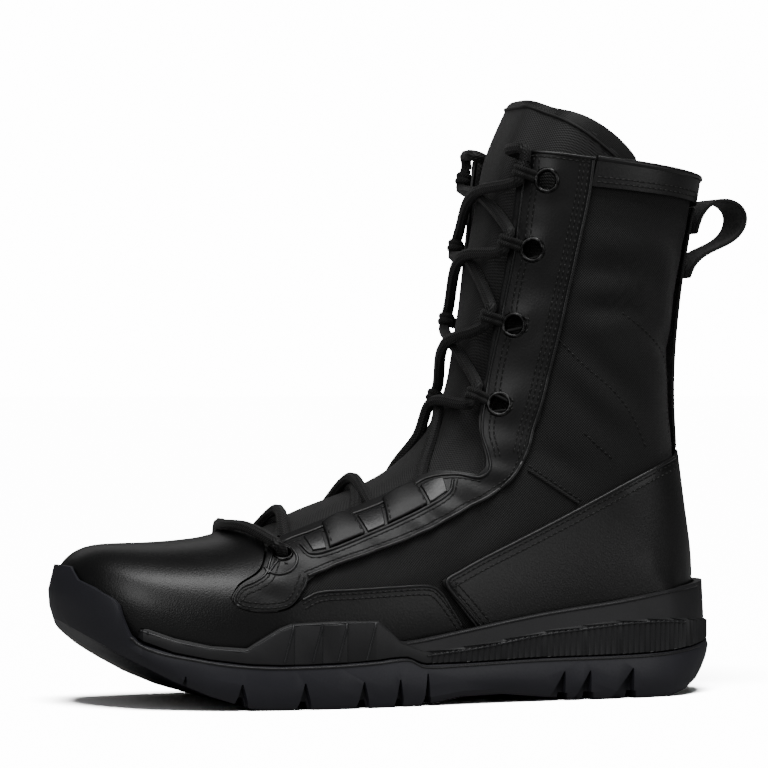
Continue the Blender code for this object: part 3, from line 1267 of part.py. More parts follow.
def make_laces(last, facing, spots, material):
    """The lace: a bar over the vamp, two strands that cross between the rows, and tucked ends."""
    sides = {name: lace_spots(last, facing, spots, name, side)
             for name, side in (("lateral", -1), ("medial", 1))}
    strands = []
    for first, second in (("lateral", "medial"), ("medial", "lateral")):
        route = []
        rows = len(sides[first])
        for k in range(rows):
            u, spot, along = sides[first if k % 2 == 0 else second][k]
            route += [spot - LACE_STRAIGHT * along, spot, spot + LACE_STRAIGHT * along]
            if k + 1 < rows:
                crossing = 0.5 * (u + sides[first][k + 1][0])
                route.append(last.at(crossing, 0.0, CROSSING_LIFT))
        strands.append(tube(smooth_route(route, 10.0), LACE_RADIUS, LACE_SIDES))
    lace = make_object("lace", *strands[0], material)
    other = make_cutter("lace_other_strand", *strands[1])
    joined = lace.modifiers.new("joined", "BOOLEAN")
    joined.operation = "UNION"
    joined.object = other
    joined.solver = "EXACT"

    for name, side in (("lateral", -1), ("medial", 1)):
        _, spot, along = sides[name][-1]
        edge_w = facing.edge[-2:, 1].mean()
        girth = last.half_girth(COLLAR_ROW)
        start = spot + (LACE_STRAIGHT + 2 * GAP) * along
        _, normal, inward, _ = spots[name, GROMMETS[-1].name]
        route = [start, start + LACE_RADIUS * along]
        route.append(start + TUCK_RISE * along + TUCK_LEAN * (inward + 0.5 * normal))
        for row in LACE_TUCK:
            route.append(last.at(row.row, side * (edge_w + row.beyond / girth), row.lift))
        make_object(f"lace_end_{name}", *tube(smooth_route(route, 4.0), LACE_RADIUS, LACE_SIDES), material)

    ridge = float(last.row_at_top(BAR_CROWN))
    route = []
    for name in ("lateral", "medial"):
        spot, normal, inward, _ = spots[name, "front"]
        half = [spot + BAR_SEAT * normal, spot + (BAR_SEAT + 2.6) * normal + 2.0 * inward]
        shoulder = last.at(ridge + 0.15, -0.22 if name == "lateral" else 0.22, BAR_LIFT + 0.6)
        half.append(shoulder)
        route += half if name == "lateral" else [last.at(ridge, 0.0, BAR_LIFT)] + half[::-1]
    make_object("lace_front_bar", *tube(smooth_route(route, 6.0), LACE_RADIUS, LACE_SIDES), material)


def main():
    for item in list(bpy.data.objects):
        bpy.data.objects.remove(item, do_unlink=True)
    materials = {name: make_material(name) for name in COLOURS}
    last = LastForm()
    facing = FacingEdges(last)
    upper = make_upper(last, facing, materials["cloth"])
    make_vamp(last, facing, materials["leather"])
    make_counter(last, materials["leather"])
    lateral, medial = make_facings(last, facing, materials["leather"])
    make_tunnels(last, facing, materials["leather"])
    make_cuff(last, materials["leather"])
    make_back_strap(last, materials["webbing"])
    make_pull_loop(last, materials["webbing"])
    make_tongue(last, facing, materials["cloth"])
    make_insole(last, materials["cloth"])
    make_sole_solids(last, materials)
    holders = {"upper": upper, "eyestay_lateral": lateral, "eyestay_medial": medial}
    spots = make_grommets(last, holders, materials)
    make_laces(last, facing, spots, materials["lace"])


main()
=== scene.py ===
# %% [markdown]
# # A lace-up military boot
# The boot is one left boot that stands empty on its sole: a cloth shaft, glossy leather
# panels sewn over it, a round lace in webbing keepers, and a moulded sole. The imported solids
# give every size and place. This lesson dresses them: each soft piece is modelled again over
# its solid, and each surface gets a finish of its own.

import math

import bpy
import numpy as np
from mathutils import Matrix, Vector
from mathutils.bvhtree import BVHTree


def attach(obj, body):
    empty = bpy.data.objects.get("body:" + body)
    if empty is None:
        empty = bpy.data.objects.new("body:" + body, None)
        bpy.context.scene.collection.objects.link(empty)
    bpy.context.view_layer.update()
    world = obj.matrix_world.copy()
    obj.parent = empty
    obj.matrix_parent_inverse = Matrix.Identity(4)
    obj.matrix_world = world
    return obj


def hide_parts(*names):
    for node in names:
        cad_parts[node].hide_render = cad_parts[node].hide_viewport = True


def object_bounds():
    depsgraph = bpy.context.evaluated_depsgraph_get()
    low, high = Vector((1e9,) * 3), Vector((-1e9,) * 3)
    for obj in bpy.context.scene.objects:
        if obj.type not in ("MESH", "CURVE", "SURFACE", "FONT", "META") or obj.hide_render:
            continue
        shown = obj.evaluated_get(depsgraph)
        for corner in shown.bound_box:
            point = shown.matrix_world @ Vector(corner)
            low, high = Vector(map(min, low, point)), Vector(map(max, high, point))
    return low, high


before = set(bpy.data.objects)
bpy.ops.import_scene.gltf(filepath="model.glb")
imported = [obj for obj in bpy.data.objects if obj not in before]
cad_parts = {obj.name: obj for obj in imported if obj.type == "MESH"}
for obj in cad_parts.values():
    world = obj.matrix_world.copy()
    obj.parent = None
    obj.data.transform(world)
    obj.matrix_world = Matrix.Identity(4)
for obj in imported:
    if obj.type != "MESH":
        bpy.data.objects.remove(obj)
cad_low, cad_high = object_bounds()
MM = 0.001
HEEL_CENTRE = 268.0
SIDES = {"lateral": -1, "medial": 1}
print("CAD box in mm", [round(x / MM, 1) for x in cad_low], [round(x / MM, 1) for x in cad_high])

# %% [markdown]
# ## Camera
# The photograph looks at the outer side, turned twenty degrees towards the toe, from far away
# with a long lens, so that the boot keeps its true proportions. The camera could be fitted by
# eye. Here it is placed from its distance and aim, so that the same numbers set its turn too.

# %% Camera at the photograph's angle
VIEW_TURN = math.radians(20.0)
VIEW_DISTANCE = 1.75
VIEW_AIM = Vector((-0.117, 0.0, 0.1389))
VIEW_LENS = 185.2
view_line = Vector((math.sin(VIEW_TURN), math.cos(VIEW_TURN), 0.0))
bpy.ops.object.camera_add(location=VIEW_AIM - VIEW_DISTANCE * view_line,
                          rotation=(math.radians(90.0), 0.0, -VIEW_TURN))
camera = bpy.context.object
camera.data.lens = VIEW_LENS
camera.data.clip_end = 100.0
bpy.context.scene.camera = camera
print("camera at", [round(x, 3) for x in camera.location])

# %% [markdown]
# ## Shader maths
# A material is a small network of nodes. Wiring each node by hand hides the idea, so a class
# stands for one socket, and Python's own operators add the Math nodes. Any other node comes
# from one method, which takes the node's type, its settings and its sockets.


# %% A socket with operators
class Wire:
    """The value of one socket in a material."""

    def __init__(self, tree, socket):
        self.tree = tree
        self.socket = socket

    def node(self, kind, settings, sockets, output=0):
        """Adds a node: settings first, then a value or a Wire for each socket."""
        made = self.tree.nodes.new(kind)
        for name, value in settings.items():
            if name == "stops":
                for stop, (place, shade) in zip(made.color_ramp.elements, value):
                    stop.position = place
                    stop.color = (shade, shade, shade, 1.0)
            else:
                setattr(made, name, value)
        for key, value in sockets.items():
            if isinstance(value, Wire):
                self.tree.links.new(value.socket, made.inputs[key])
            else:
                made.inputs[key].default_value = value
        return Wire(self.tree, made.outputs[output])

    def math(self, operation, first, second=0.0):
        return self.node("ShaderNodeMath", {"operation": operation}, {0: first, 1: second})

    def __add__(self, other):
        return self.math("ADD", self, other)

    def __sub__(self, other):
        return self.math("SUBTRACT", self, other)

    def __mul__(self, other):
        return self.math("MULTIPLY", self, other)

    def __rsub__(self, other):
        return self.math("SUBTRACT", other, self)

    __radd__ = __add__
    __rmul__ = __mul__

    def sine(self):
        return self.math("SINE", self)

    def ramp(self, low, high):
        """0 below low and 1 above high."""
        stops = [(low, 0.0), (high, 1.0)]
        return self.node("ShaderNodeValToRGB", {"stops": stops}, {"Fac": self})

    def axes(self):
        """The three parts of a vector."""
        return [self.node("ShaderNodeSeparateXYZ", {}, {0: self}, output=k) for k in range(3)]

    def noise(self, scale, detail=3.0, roughness=0.55):
        return self.node("ShaderNodeTexNoise", {},
                         {"Vector": self, "Scale": scale, "Detail": detail, "Roughness": roughness})

    def cells(self, scale):
        """Distance to the nearest of many scattered points."""
        return self.node("ShaderNodeTexVoronoi", {}, {"Vector": self, "Scale": scale})

    def blend(self, first, second):
        """A colour between two, by this value."""
        return self.node("ShaderNodeMix", {"data_type": "RGBA"},
                         {0: self, 6: first, 7: second}, output=2)


class Finish:
    """A material in the making: its shader, and where its patterns are read."""

    def __init__(self, name, **constants):
        self.material = bpy.data.materials.new(name)
        self.material.use_nodes = True
        self.tree = self.material.node_tree
        self.shader = self.tree.nodes["Principled BSDF"]
        for socket, value in constants.items():
            self.shader.inputs[socket.replace("_", " ")].default_value = value
        coordinates = self.tree.nodes.new("ShaderNodeTexCoord")
        self.place = Wire(self.tree, coordinates.outputs["Object"])
        self.flat = Wire(self.tree, coordinates.outputs["UV"])

    def feed(self, socket, wire):
        self.tree.links.new(wire.socket, self.shader.inputs[socket])

    def bump(self, height, strength, depth):
        self.feed("Normal", height.node("ShaderNodeBump", {},
                                        {"Height": height, "Strength": strength, "Distance": depth}))

    def shade(self, wire, dark, light, tint=1.0):
        """Base colour from a dark to a light grey, with the blue part scaled by a tint."""
        low, high = ((grey, grey, grey * tint, 1.0) for grey in (dark, light))
        self.feed("Base Color", wire.blend(low, high))


print("shader helpers ready")

# %% [markdown]
# ## Leather
# The panels are black corrected-grain leather: a dense, shallow pebble grain under a polished
# top coat, duller where it was handled. A picture of leather would have to be unwrapped. Cells
# and noise read at the boot's own size need no unwrapping, and stay the same on every panel.


# %% Leather finish
# Pattern scales in cells or waves to the metre
PEBBLES = 1250.0
PORES = 3600.0
CLOUDS = 24.0
SCUFFS = 95.0
GRAIN_DEPTH = 0.00013


def make_leather(name, dark, roughness, coat):
    finish = Finish(name, Coat_Weight=coat, Coat_Roughness=0.26, Specular_IOR_Level=0.42)
    place = finish.place
    pebble = place.cells(PEBBLES)
    fine = place.noise(PORES, 2.0)
    cloud = place.noise(CLOUDS, 4.0)
    scuff = place.noise(SCUFFS, 5.0).ramp(0.58, 0.74)
    finish.shade(cloud, dark * 0.7, dark * 1.5, 1.04)
    finish.feed("Roughness", roughness + 0.14 * (cloud - 0.5) + 0.08 * (fine - 0.5) + 0.07 * scuff)
    finish.bump(pebble + 0.7 * fine, 0.42, GRAIN_DEPTH)
    return finish.material


# Name, grey, roughness and weight of the top coat
leather = make_leather("polished_leather", 0.005, 0.36, 0.22)
facing_leather = make_leather("facing_leather", 0.0055, 0.45, 0.1)
rolled_leather = make_leather("rolled_leather", 0.008, 0.32, 0.35)
print("leather finishes", leather.name, facing_leather.name, rolled_leather.name)

# %% [markdown]
# ## Cloth, webbing and cord
# The shaft and tongue are a dense plain-woven nylon, the keepers, loop and strap are ribbed
# webbing, and the lace is a braided round cord. Threads follow the piece, so their patterns, a
# bump and a painted shade in the dips between threads, read the piece's own UV map, laid out in
# metres.


# %% Woven finishes
WEAVE_CLOUDS = 55.0
WEAVE_FUZZ = 2600.0


def make_woven(name, dark, pitch_across, pitch_along, depth, roughness):
    finish = Finish(name, Specular_IOR_Level=0.32, Sheen_Weight=0.1, Sheen_Roughness=0.4)
    across, along, _ = finish.flat.axes()
    warp = (across * (2.0 * math.pi / pitch_across)).sine()
    weft = (along * (2.0 * math.pi / pitch_along)).sine()
    weave = warp * weft
    cloud = finish.place.noise(WEAVE_CLOUDS, 5.0)
    fuzz = finish.place.noise(WEAVE_FUZZ, 2.0)
    # Painted shade of the weave, darker in the dips between threads and lighter on the crests, with a
    # random cloud of tone over it
    weave_shade_and_tone = (weave * 0.5 + 0.5) * (0.5 + 1.0 * cloud)
    finish.shade(weave_shade_and_tone, dark * 0.4, dark * 1.7)
    finish.feed("Roughness", roughness + 0.2 * (cloud - 0.5))
    finish.bump(weave + 0.8 * fuzz, 0.6, depth)
    return finish.material


# Name, grey, pitch across and along in metres, depth of the weave, and roughness
nylon = make_woven("woven_nylon", 0.0095, 0.0012, 0.0012, 0.0002, 0.6)
tongue_cloth = make_woven("tongue_cloth", 0.023, 0.0012, 0.0012, 0.0002, 0.6)
binding = make_woven("ribbed_binding", 0.015, 0.02, 0.0007, 0.00015, 0.5)
webbing = make_woven("ribbed_webbing", 0.008, 0.0016, 0.0009, 0.0003, 0.55)
cord = make_woven("braided_cord", 0.011, 0.0016, 0.0014, 0.00025, 0.5)
lining = make_woven("lining_cloth", 0.014, 0.002, 0.002, 0.0003, 0.75)
print("woven finishes", *(finish.name for finish in (nylon, tongue_cloth, binding, webbing, cord, lining)))

# %% [markdown]
# ## Rubber, foam, thread and metal
# The outsole is dense rubber with a bluish toe bumper that was moulded smooth. The midsole is
# a firm foam with a fine spark-eroded skin. Thread is waxed and twisted. The grommets are steel
# with a black coat that is rubbed bright here and there.


# %% Moulded, thread and metal finishes
MOULD_CLOUDS = 34.0
MOULD_DEPTH = 0.0002
STEEL_RUBS = 420.0


def make_moulded(name, dark, tint, roughness, grain, strength):
    finish = Finish(name, Specular_IOR_Level=0.42)
    place = finish.place
    cloud = place.noise(MOULD_CLOUDS, 4.0)
    skin = place.noise(grain, 3.0)
    finish.shade(cloud, dark * 0.75, dark * 1.3, tint)
    finish.feed("Roughness", roughness + 0.16 * (cloud - 0.5) + 0.1 * (skin - 0.5))
    finish.bump(skin, strength, MOULD_DEPTH)
    return finish.material


def make_steel(name, bright):
    finish = Finish(name, Metallic=1.0)
    rubbed = finish.place.noise(STEEL_RUBS, 4.0).ramp(0.48, 0.7)
    finish.shade(rubbed, bright * 0.25, bright)
    finish.feed("Roughness", 0.26 + 0.14 * rubbed)
    return finish.material


# Name, grey, tint of the blue part, roughness, grains to the metre and their strength
rubber = make_moulded("outsole_rubber", 0.03, 1.24, 0.42, 900.0, 0.12)
foam = make_moulded("midsole_foam", 0.024, 1.06, 0.46, 1400.0, 0.14)
thread = make_moulded("waxed_thread", 0.013, 1.0, 0.42, 2400.0, 0.5)
lip_rubber = make_moulded("lip_rubber", 0.024, 1.08, 0.3, 1400.0, 0.08)
# A very dark matte finish for strips along the stitch rows: painted shade where the needle groove falls in
# shadow
groove_shade_finish = make_moulded("painted_groove_shade", 0.0025, 1.0, 0.7, 2400.0, 0.5)
steel = make_steel("coated_steel", 0.11)
print("moulded finishes", *(finish.name for finish in (rubber, foam, lip_rubber, thread, groove_shade_finish, steel)))

# %% [markdown]
# ## Floor and light
# The boot stands on a white sweep. A wide soft box overhead draws the long highlight on the
# toe, two in front open the shadows, and one behind draws the upper edges. A white floor
# would need so much light that black leather turned grey, so a lamp of its own, linked to the
# floor alone, lights it, and only the camera sees the floor and backdrop at full white. That
# lamp shines along the view, so the boot's soft shadow falls under and behind it.

# %% Floor, backdrop and soft boxes
SEEN_WHITE = 15.0
FILL_LIGHT = 0.05
FLOOR_LIGHT = 56.0
FLOOR_SEEN = 0.86
FLOOR_FELT = 0.012
FLOOR_TILT = math.radians(22.0)
FLOOR_SOFTNESS = math.radians(26.0)


def camera_only(tree, seen, felt):
    """One value for the camera's own rays, and another for light on its way."""
    rays = tree.nodes.new("ShaderNodeLightPath")
    return Wire(tree, rays.outputs["Is Camera Ray"]) * (seen - felt) + felt


bpy.ops.mesh.primitive_plane_add(size=80.0)
floor = bpy.context.object
floor.name = "studio_floor"
floor_finish = Finish("studio_white", Roughness=0.7, Specular_IOR_Level=0.0)
pale = camera_only(floor_finish.tree, FLOOR_SEEN, FLOOR_FELT)
floor_finish.feed("Base Color", pale)
floor.data.materials.append(floor_finish.material)

world = bpy.data.worlds.new("studio")
bpy.context.scene.world = world
world.use_nodes = True
sky = world.node_tree
backdrop = sky.nodes["Background"]
backdrop.inputs["Color"].default_value = (1.0, 1.0, 1.0, 1.0)
sky.links.new(camera_only(sky, SEEN_WHITE, FILL_LIGHT).socket, backdrop.inputs["Strength"])

bpy.ops.object.light_add(type="SUN", location=(0.0, 0.0, 3.0))
floor_lamp = bpy.context.object
floor_lamp.name = "floor_lamp"
floor_lamp.data.energy = FLOOR_LIGHT
floor_lamp.data.angle = FLOOR_SOFTNESS
lamp_line = view_line * math.sin(FLOOR_TILT) - Vector((0.0, 0.0, math.cos(FLOOR_TILT)))
floor_lamp.rotation_euler = lamp_line.to_track_quat("-Z", "Y").to_euler()
floor_only = bpy.data.collections.new("floor_only")
floor_only.objects.link(floor)
floor_lamp.light_linking.receiver_collection = floor_only


def soft_box(name, spot, aim, width, height, watts):
    bpy.ops.object.light_add(type="AREA", location=spot)
    box = bpy.context.object
    box.name = name
    box.data.shape = "RECTANGLE"
    box.data.size = width
    box.data.size_y = height
    box.data.energy = watts
    box.rotation_euler = (Vector(aim) - Vector(spot)).to_track_quat("-Z", "Y").to_euler()
    return box


# Name, place, aim, width and height in metres, and watts
SOFT_BOXES = [
    ("top_box", (-0.12, -0.48, 1.35), (-0.12, 0.0, 0.1), 1.2, 0.5, 11.5),
    ("front_box", (-1.1, -1.2, 0.9), (-0.12, 0.0, 0.1), 0.8, 1.1, 7.0),
    ("back_box", (0.25, 1.5, 0.95), (-0.1, 0.0, 0.12), 1.7, 0.6, 1.1),
    ("heel_box", (1.25, -1.7, 0.55), (0.0, 0.0, 0.12), 1.2, 0.9, 4.8),
]
for row in SOFT_BOXES:
    soft_box(*row)
print("floor lamp and", len(SOFT_BOXES), "soft boxes")

# %% [markdown]
# ## Working on copies of the solids
# A solid's mesh must stay as it was packed, so every soft piece starts as a copy of it. A copy
# is loose triangles: its doubles are merged and its triangles are paired into squares, which a
# subdivision surface then rounds. Edges that the solid has on purpose get a crease.


# %% Helpers for pieces
MERGE_DISTANCE = 0.00002
PAIR_TURN = math.radians(35.0)
PAIR_SKEW = math.radians(50.0)


def show_only(piece):
    """Selects one object and makes it the active one."""
    bpy.ops.object.select_all(action="DESELECT")
    piece.select_set(True)
    bpy.context.view_layer.objects.active = piece


def add_piece(name, mesh, material):
    piece = bpy.data.objects.new(name, mesh)
    bpy.context.scene.collection.objects.link(piece)
    piece.data.materials.clear()
    piece.data.materials.append(material)
    return piece


def copy_solid(node, name, material):
    """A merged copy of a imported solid, with its triangles paired into squares."""
    piece = add_piece(name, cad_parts[node].data.copy(), material)
    show_only(piece)
    bpy.ops.object.mode_set(mode="EDIT")
    bpy.ops.mesh.select_all(action="SELECT")
    bpy.ops.mesh.remove_doubles(threshold=MERGE_DISTANCE)
    bpy.ops.mesh.customdata_custom_splitnormals_clear()
    bpy.ops.mesh.tris_convert_to_quads(face_threshold=PAIR_TURN, shape_threshold=PAIR_SKEW)
    bpy.ops.object.mode_set(mode="OBJECT")
    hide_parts(node)
    return piece


def turn_outward(piece):
    """Makes every face of a closed piece point outwards."""
    show_only(piece)
    bpy.ops.object.mode_set(mode="EDIT")
    bpy.ops.mesh.select_all(action="SELECT")
    bpy.ops.mesh.normals_make_consistent(inside=False)
    bpy.ops.object.mode_set(mode="OBJECT")


def crease_sharp(piece, angle, weight):
    """Creases the edges where the surface turns by more than an angle."""
    show_only(piece)
    bpy.ops.object.mode_set(mode="EDIT")
    bpy.ops.mesh.select_mode(type="EDGE")
    bpy.ops.mesh.select_all(action="DESELECT")
    bpy.ops.mesh.edges_select_sharp(sharpness=math.radians(angle))
    bpy.ops.object.mode_set(mode="OBJECT")
    chosen = np.zeros(len(piece.data.edges), bool)
    piece.data.edges.foreach_get("select", chosen)
    crease = piece.data.attributes.new("crease_edge", "FLOAT", "EDGE")
    crease.data.foreach_set("value", np.where(chosen, weight, 0.0).astype(np.float32))


def subdivide(piece, levels):
    """Applies a subdivision surface."""
    show_only(piece)
    rounded = piece.modifiers.new("rounded", "SUBSURF")
    rounded.levels = levels
    rounded.render_levels = levels
    bpy.ops.object.modifier_apply(modifier=rounded.name)


def read_vertices(piece, what):
    values = np.empty(3 * len(piece.data.vertices), np.float32)
    piece.data.vertices.foreach_get(what, values)
    return values.reshape(-1, 3).astype(float)


def points_of(piece):
    return read_vertices(piece, "co")


def normals_of(piece):
    return read_vertices(piece, "normal")


def set_points(piece, points):
    piece.data.vertices.foreach_set("co", points.astype(np.float32).ravel())
    piece.data.update()


def smooth_shade(piece, angle=40.0):
    show_only(piece)
    bpy.ops.object.shade_smooth_by_angle(angle=math.radians(angle))


def settle(piece):
    """A finished piece rides on the boot's one body."""
    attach(piece, "root")
    return piece


def dress(node, material, levels, angle=50.0, weight=0.75):
    """A rounded copy of a solid that stands for it."""
    piece = copy_solid(node, node + "_dressed", material)
    crease_sharp(piece, angle, weight)
    subdivide(piece, levels)
    smooth_shade(piece)
    return settle(piece)


def skin_of(*pieces):
    """A search tree of finished pieces, to lay seams on."""
    points, faces = ([], [])
    for piece in pieces:
        faces += [[len(points) + k for k in face.vertices] for face in piece.data.polygons]
        points += [vertex.co.copy() for vertex in piece.data.vertices]
    return BVHTree.FromPolygons(points, faces)


print("piece helpers ready")

# %% [markdown]
# ## Shaft
# The shaft is one cloth wall with a lining. Cloth that has been worn a little never lies flat:
# the photograph shows soft slanting troughs above the heel and round the ankle. They could be
# simulated, but simulation would not put them where they are. Each one is given as a line in the
# side view, and the cloth sinks along it.

# %% Shaft with its soft folds
shaft = copy_solid("upper", "shaft", nylon)
crease_sharp(shaft, 60.0, 0.8)
subdivide(shaft, 2)

# Side view of each fold in millimetres from the toe: start, end, half width and depth
FOLDS = [
    ((234.0, 214.0), (262.0, 206.0), 4.0, 1.3),
    ((256.0, 219.0), (286.0, 203.0), 5.0, 1.6),
    ((229.0, 191.0), (266.0, 187.0), 5.0, 1.7),
    ((264.0, 189.0), (270.0, 176.0), 5.0, 1.6),
    ((230.0, 172.0), (268.0, 175.0), 4.5, 1.5),
    ((258.0, 170.0), (287.0, 150.0), 6.0, 1.6),
    ((226.0, 160.0), (262.0, 126.0), 5.5, 1.4),
    ((222.0, 140.0), (250.0, 112.0), 5.0, 1.1),
    ((284.0, 206.0), (281.0, 128.0), 7.0, 1.5),
    ((206.0, 112.0), (232.0, 98.0), 5.0, 0.9),
    ((122.0, 58.0), (158.0, 66.0), 5.0, 0.7),
    ((168.0, 68.0), (196.0, 84.0), 5.0, 0.7),
]
# The ridge beside a fold as a share of its depth, its place in half widths, and the ends' taper
FOLD_RIDGE = 0.5
RIDGE_PLACE = 1.9
FOLD_TAPER = 0.08
# No fold above this height, where the cuff is, and the full depth this far below, in millimetres
COLLAR_HEIGHT = 219.0
COLLAR_FADE = 10.0
# The leg's axis and radius, and the boot's spine, in metres
LEG_CENTRE = -0.03
LEG_ROUND = 0.052
ANKLE_HEIGHT = 0.11
LEG_SPINE = -0.025
FOOT_SPINE = (-0.23, -0.02)
SPINE_HEIGHT = 0.045


def fold_depth(points, folds):
    """How far a skin sinks at each point, with a soft ridge beside each trough."""
    side = np.stack((points[:, 0] / MM + HEEL_CENTRE, points[:, 2] / MM), axis=1)
    depth = np.zeros(len(points))
    for start, end, width, most in folds:
        start = np.array(start)
        run = np.array(end) - start
        share = np.clip(((side - start) @ run) / (run @ run), 0.0, 1.0)
        away = np.linalg.norm(side - start - share[:, None] * run, axis=1) / width
        ends = np.sin(math.pi * (FOLD_TAPER + (1.0 - 2.0 * FOLD_TAPER) * share))
        depth += most * ends * (np.exp(-away ** 2) - FOLD_RIDGE * np.exp(-(away - RIDGE_PLACE) ** 2))
    return depth


def is_inside(points, normals):
    """True where a wall's face looks at the boot's spine, which runs along the foot and up the leg."""
    in_leg = points[:, 2] > ANKLE_HEIGHT
    spine = np.stack((np.where(in_leg, LEG_SPINE, np.clip(points[:, 0], *FOOT_SPINE)),
                      np.zeros(len(points)), np.where(in_leg, points[:, 2], SPINE_HEIGHT)), axis=1)
    return np.einsum("ij,ij->i", normals, points - spine) < 0.0


def set_flat(piece, flat):
    """Stores a UV map with one pair for each vertex."""
    layer = piece.data.uv_layers.new(name="weave")
    corners = np.empty(len(piece.data.loops), np.int32)
    piece.data.loops.foreach_get("vertex_index", corners)
    layer.data.foreach_set("uv", flat[corners].astype(np.float32).ravel())


def lay_cloth(piece):
    """A UV map in metres: round the heel and then straight along the foot, and up."""
    points = points_of(piece)
    ahead = LEG_CENTRE - points[:, 0]
    turn = np.minimum(np.arctan2(np.abs(points[:, 1]), -ahead), 0.5 * math.pi)
    girth = np.sign(points[:, 1]) * (LEG_ROUND * turn + np.maximum(ahead, 0.0))
    set_flat(piece, np.stack((girth, points[:, 2]), axis=1))


shaft_points = points_of(shaft)
shaft_normals = normals_of(shaft)
outward = np.where(is_inside(shaft_points, shaft_normals)[:, None], -shaft_normals, shaft_normals)
sink = fold_depth(shaft_points, FOLDS)
sink *= np.clip((COLLAR_HEIGHT - shaft_points[:, 2] / MM) / COLLAR_FADE, 0.0, 1.0)
set_points(shaft, shaft_points - outward * sink[:, None] * MM)
lay_cloth(shaft)
shaft.data.materials.append(lining)
centres = np.array([face.center for face in shaft.data.polygons])
faces_in = is_inside(centres, np.array([face.normal for face in shaft.data.polygons]))
shaft.data.polygons.foreach_set("material_index", faces_in.astype(np.int32))
smooth_shade(shaft)
settle(shaft)
print("shaft", len(shaft.data.polygons), "faces,", int(faces_in.sum()), "of lining")

# %% [markdown]
# ## Leather panels
# Vamp, counter, cuff and eyestays are cut from leather a little over a millimetre thick and lie
# on the shaft's cloth. Their solids already have the true outline, so rounding a copy is enough:
# the creased rim keeps a cut edge, and the broad face becomes smooth enough for a highlight.
# Round each grommet the leather swells, and the facing has soft creases where the foot bends.

# %% Vamp, counter, cuff and eyestays
vamp = dress("vamp", leather, 2)
counter = dress("counter", leather, 2)
cuff = dress("cuff", leather, 2)
eyestays = {name: dress("eyestay_" + name, facing_leather, 3) for name in SIDES}
# Each ring's centre in millimetres, its outward direction and the way its keeper points
RINGS = {
    "lateral_front": ((-175.7, -34.1, 64.4), (-0.195, -0.643, 0.741), (-0.755, 0.58, 0.305)),
    "lateral_4": ((-71.6, -24.6, 129.7), (-0.459, -0.869, 0.185), (-0.806, 0.495, 0.325)),
    "lateral_3": ((-65.4, -27.0, 164.9), (-0.567, -0.824, 0.012), (-0.78, 0.541, 0.315)),
    "lateral_2": ((-58.8, -32.2, 198.0), (-0.538, -0.843, -0.003), (-0.799, 0.508, 0.323)),
    "lateral_1": ((-53.6, -35.8, 228.4), (-0.485, -0.874, 0.004), (-0.824, 0.459, 0.333)),
    "medial_front": ((-175.7, 42.0, 62.7), (-0.132, 0.819, 0.558), (-0.859, -0.375, 0.347)),
    "medial_4": ((-70.8, 28.6, 128.8), (-0.405, 0.903, 0.144), (-0.837, -0.429, 0.338)),
    "medial_3": ((-64.8, 29.6, 164.3), (-0.523, 0.852, -0.003), (-0.806, -0.493, 0.326)),
    "medial_2": ((-58.3, 34.2, 197.6), (-0.493, 0.87, -0.007), (-0.822, -0.463, 0.332)),
    "medial_1": ((-53.1, 36.9, 228.2), (-0.446, 0.895, -0.005), (-0.842, -0.418, 0.34)),
}
STAY_FOLDS = [
    ((108.0, 66.0), (114.0, 59.0), 3.0, 0.5), ((128.0, 73.0), (134.0, 64.5), 3.0, 0.55),
    ((146.0, 79.0), (153.0, 71.0), 3.5, 0.6), ((158.0, 84.0), (167.0, 77.0), 3.0, 0.6),
    ((170.0, 92.0), (181.0, 84.5), 3.5, 0.7), ((180.0, 97.0), (196.0, 93.0), 3.5, 0.7),
    ((188.0, 108.0), (204.0, 103.0), 4.0, 0.6), ((190.0, 122.0), (210.0, 117.0), 5.0, 0.5),
    ((194.0, 148.0), (216.0, 142.0), 6.0, 0.5), ((200.0, 182.0), (224.0, 178.0), 6.0, 0.5),
    ((78.0, 50.0), (90.0, 47.0), 3.5, 0.5),
]
PUCKER_HEIGHT = 0.8
PUCKER_REACH = 8.5
for name, side in SIDES.items():
    points = points_of(eyestays[name]) / MM
    points[:, 1] -= side * fold_depth(points * MM, STAY_FOLDS)
    for ring_name, (spot, normal, _) in RINGS.items():
        if ring_name.startswith(name):
            away = np.linalg.norm(points - np.array(spot), axis=1) / PUCKER_REACH
            points += PUCKER_HEIGHT * np.exp(-away ** 4)[:, None] * np.array(normal)
    set_points(eyestays[name], points * MM)
print("leather panels", [piece.name for piece in (vamp, counter, cuff, *eyestays.values())])

# %% [markdown]
# ## Lines in the side view
# Every seam is a line that a maker would draw on the side view. Each row gives millimetres from
# the toe, the height on the outer side, and how much lower the line runs on the inner side,
# where the foot is rounder. A line is smoothed, moved aside if it runs along an edge, and cast
# sideways on the piece that carries it, so a seam sits on its panel from wherever it is seen.

# %% Seam lines
FACING_FRONT = [
    (88.0, 68.2, 0.9), (95.2, 72.0, 1.0), (108.0, 76.2, 1.5), (120.3, 80.9, 1.9), (138.8, 87.0, 2.5),
    (152.0, 92.8, 2.4), (164.0, 98.7, 2.2), (175.0, 100.0, 2.6), (184.0, 98.6, 2.6), (188.0, 101.6, 2.3),
    (188.7, 107.0, 2.0), (187.2, 117.5, 1.4), (190.6, 136.5, 0.7), (194.0, 155.0, 0.5), (197.0, 171.5, 0.5),
    (201.5, 200.1, 0.3), (204.4, 226.5, 0.1), (205.6, 238.0, 0.1),
]
FACING_REAR = [
    (100.7, 56.0, 3.2), (116.8, 61.7, 4.2), (128.0, 65.0, 4.7), (139.9, 68.8, 5.1), (151.5, 72.7, 5.1),
    (163.4, 77.5, 4.7), (176.5, 84.0, 3.6), (189.0, 90.0, 2.6), (199.5, 97.3, 1.9), (206.0, 107.8, 1.2),
    (209.8, 119.5, 0.9), (213.8, 133.0, 0.7), (218.4, 153.0, 0.6), (223.0, 175.8, 0.5), (227.4, 198.0, 0.4),
    (232.2, 222.0, 0.3), (234.0, 237.0, 0.2),
]
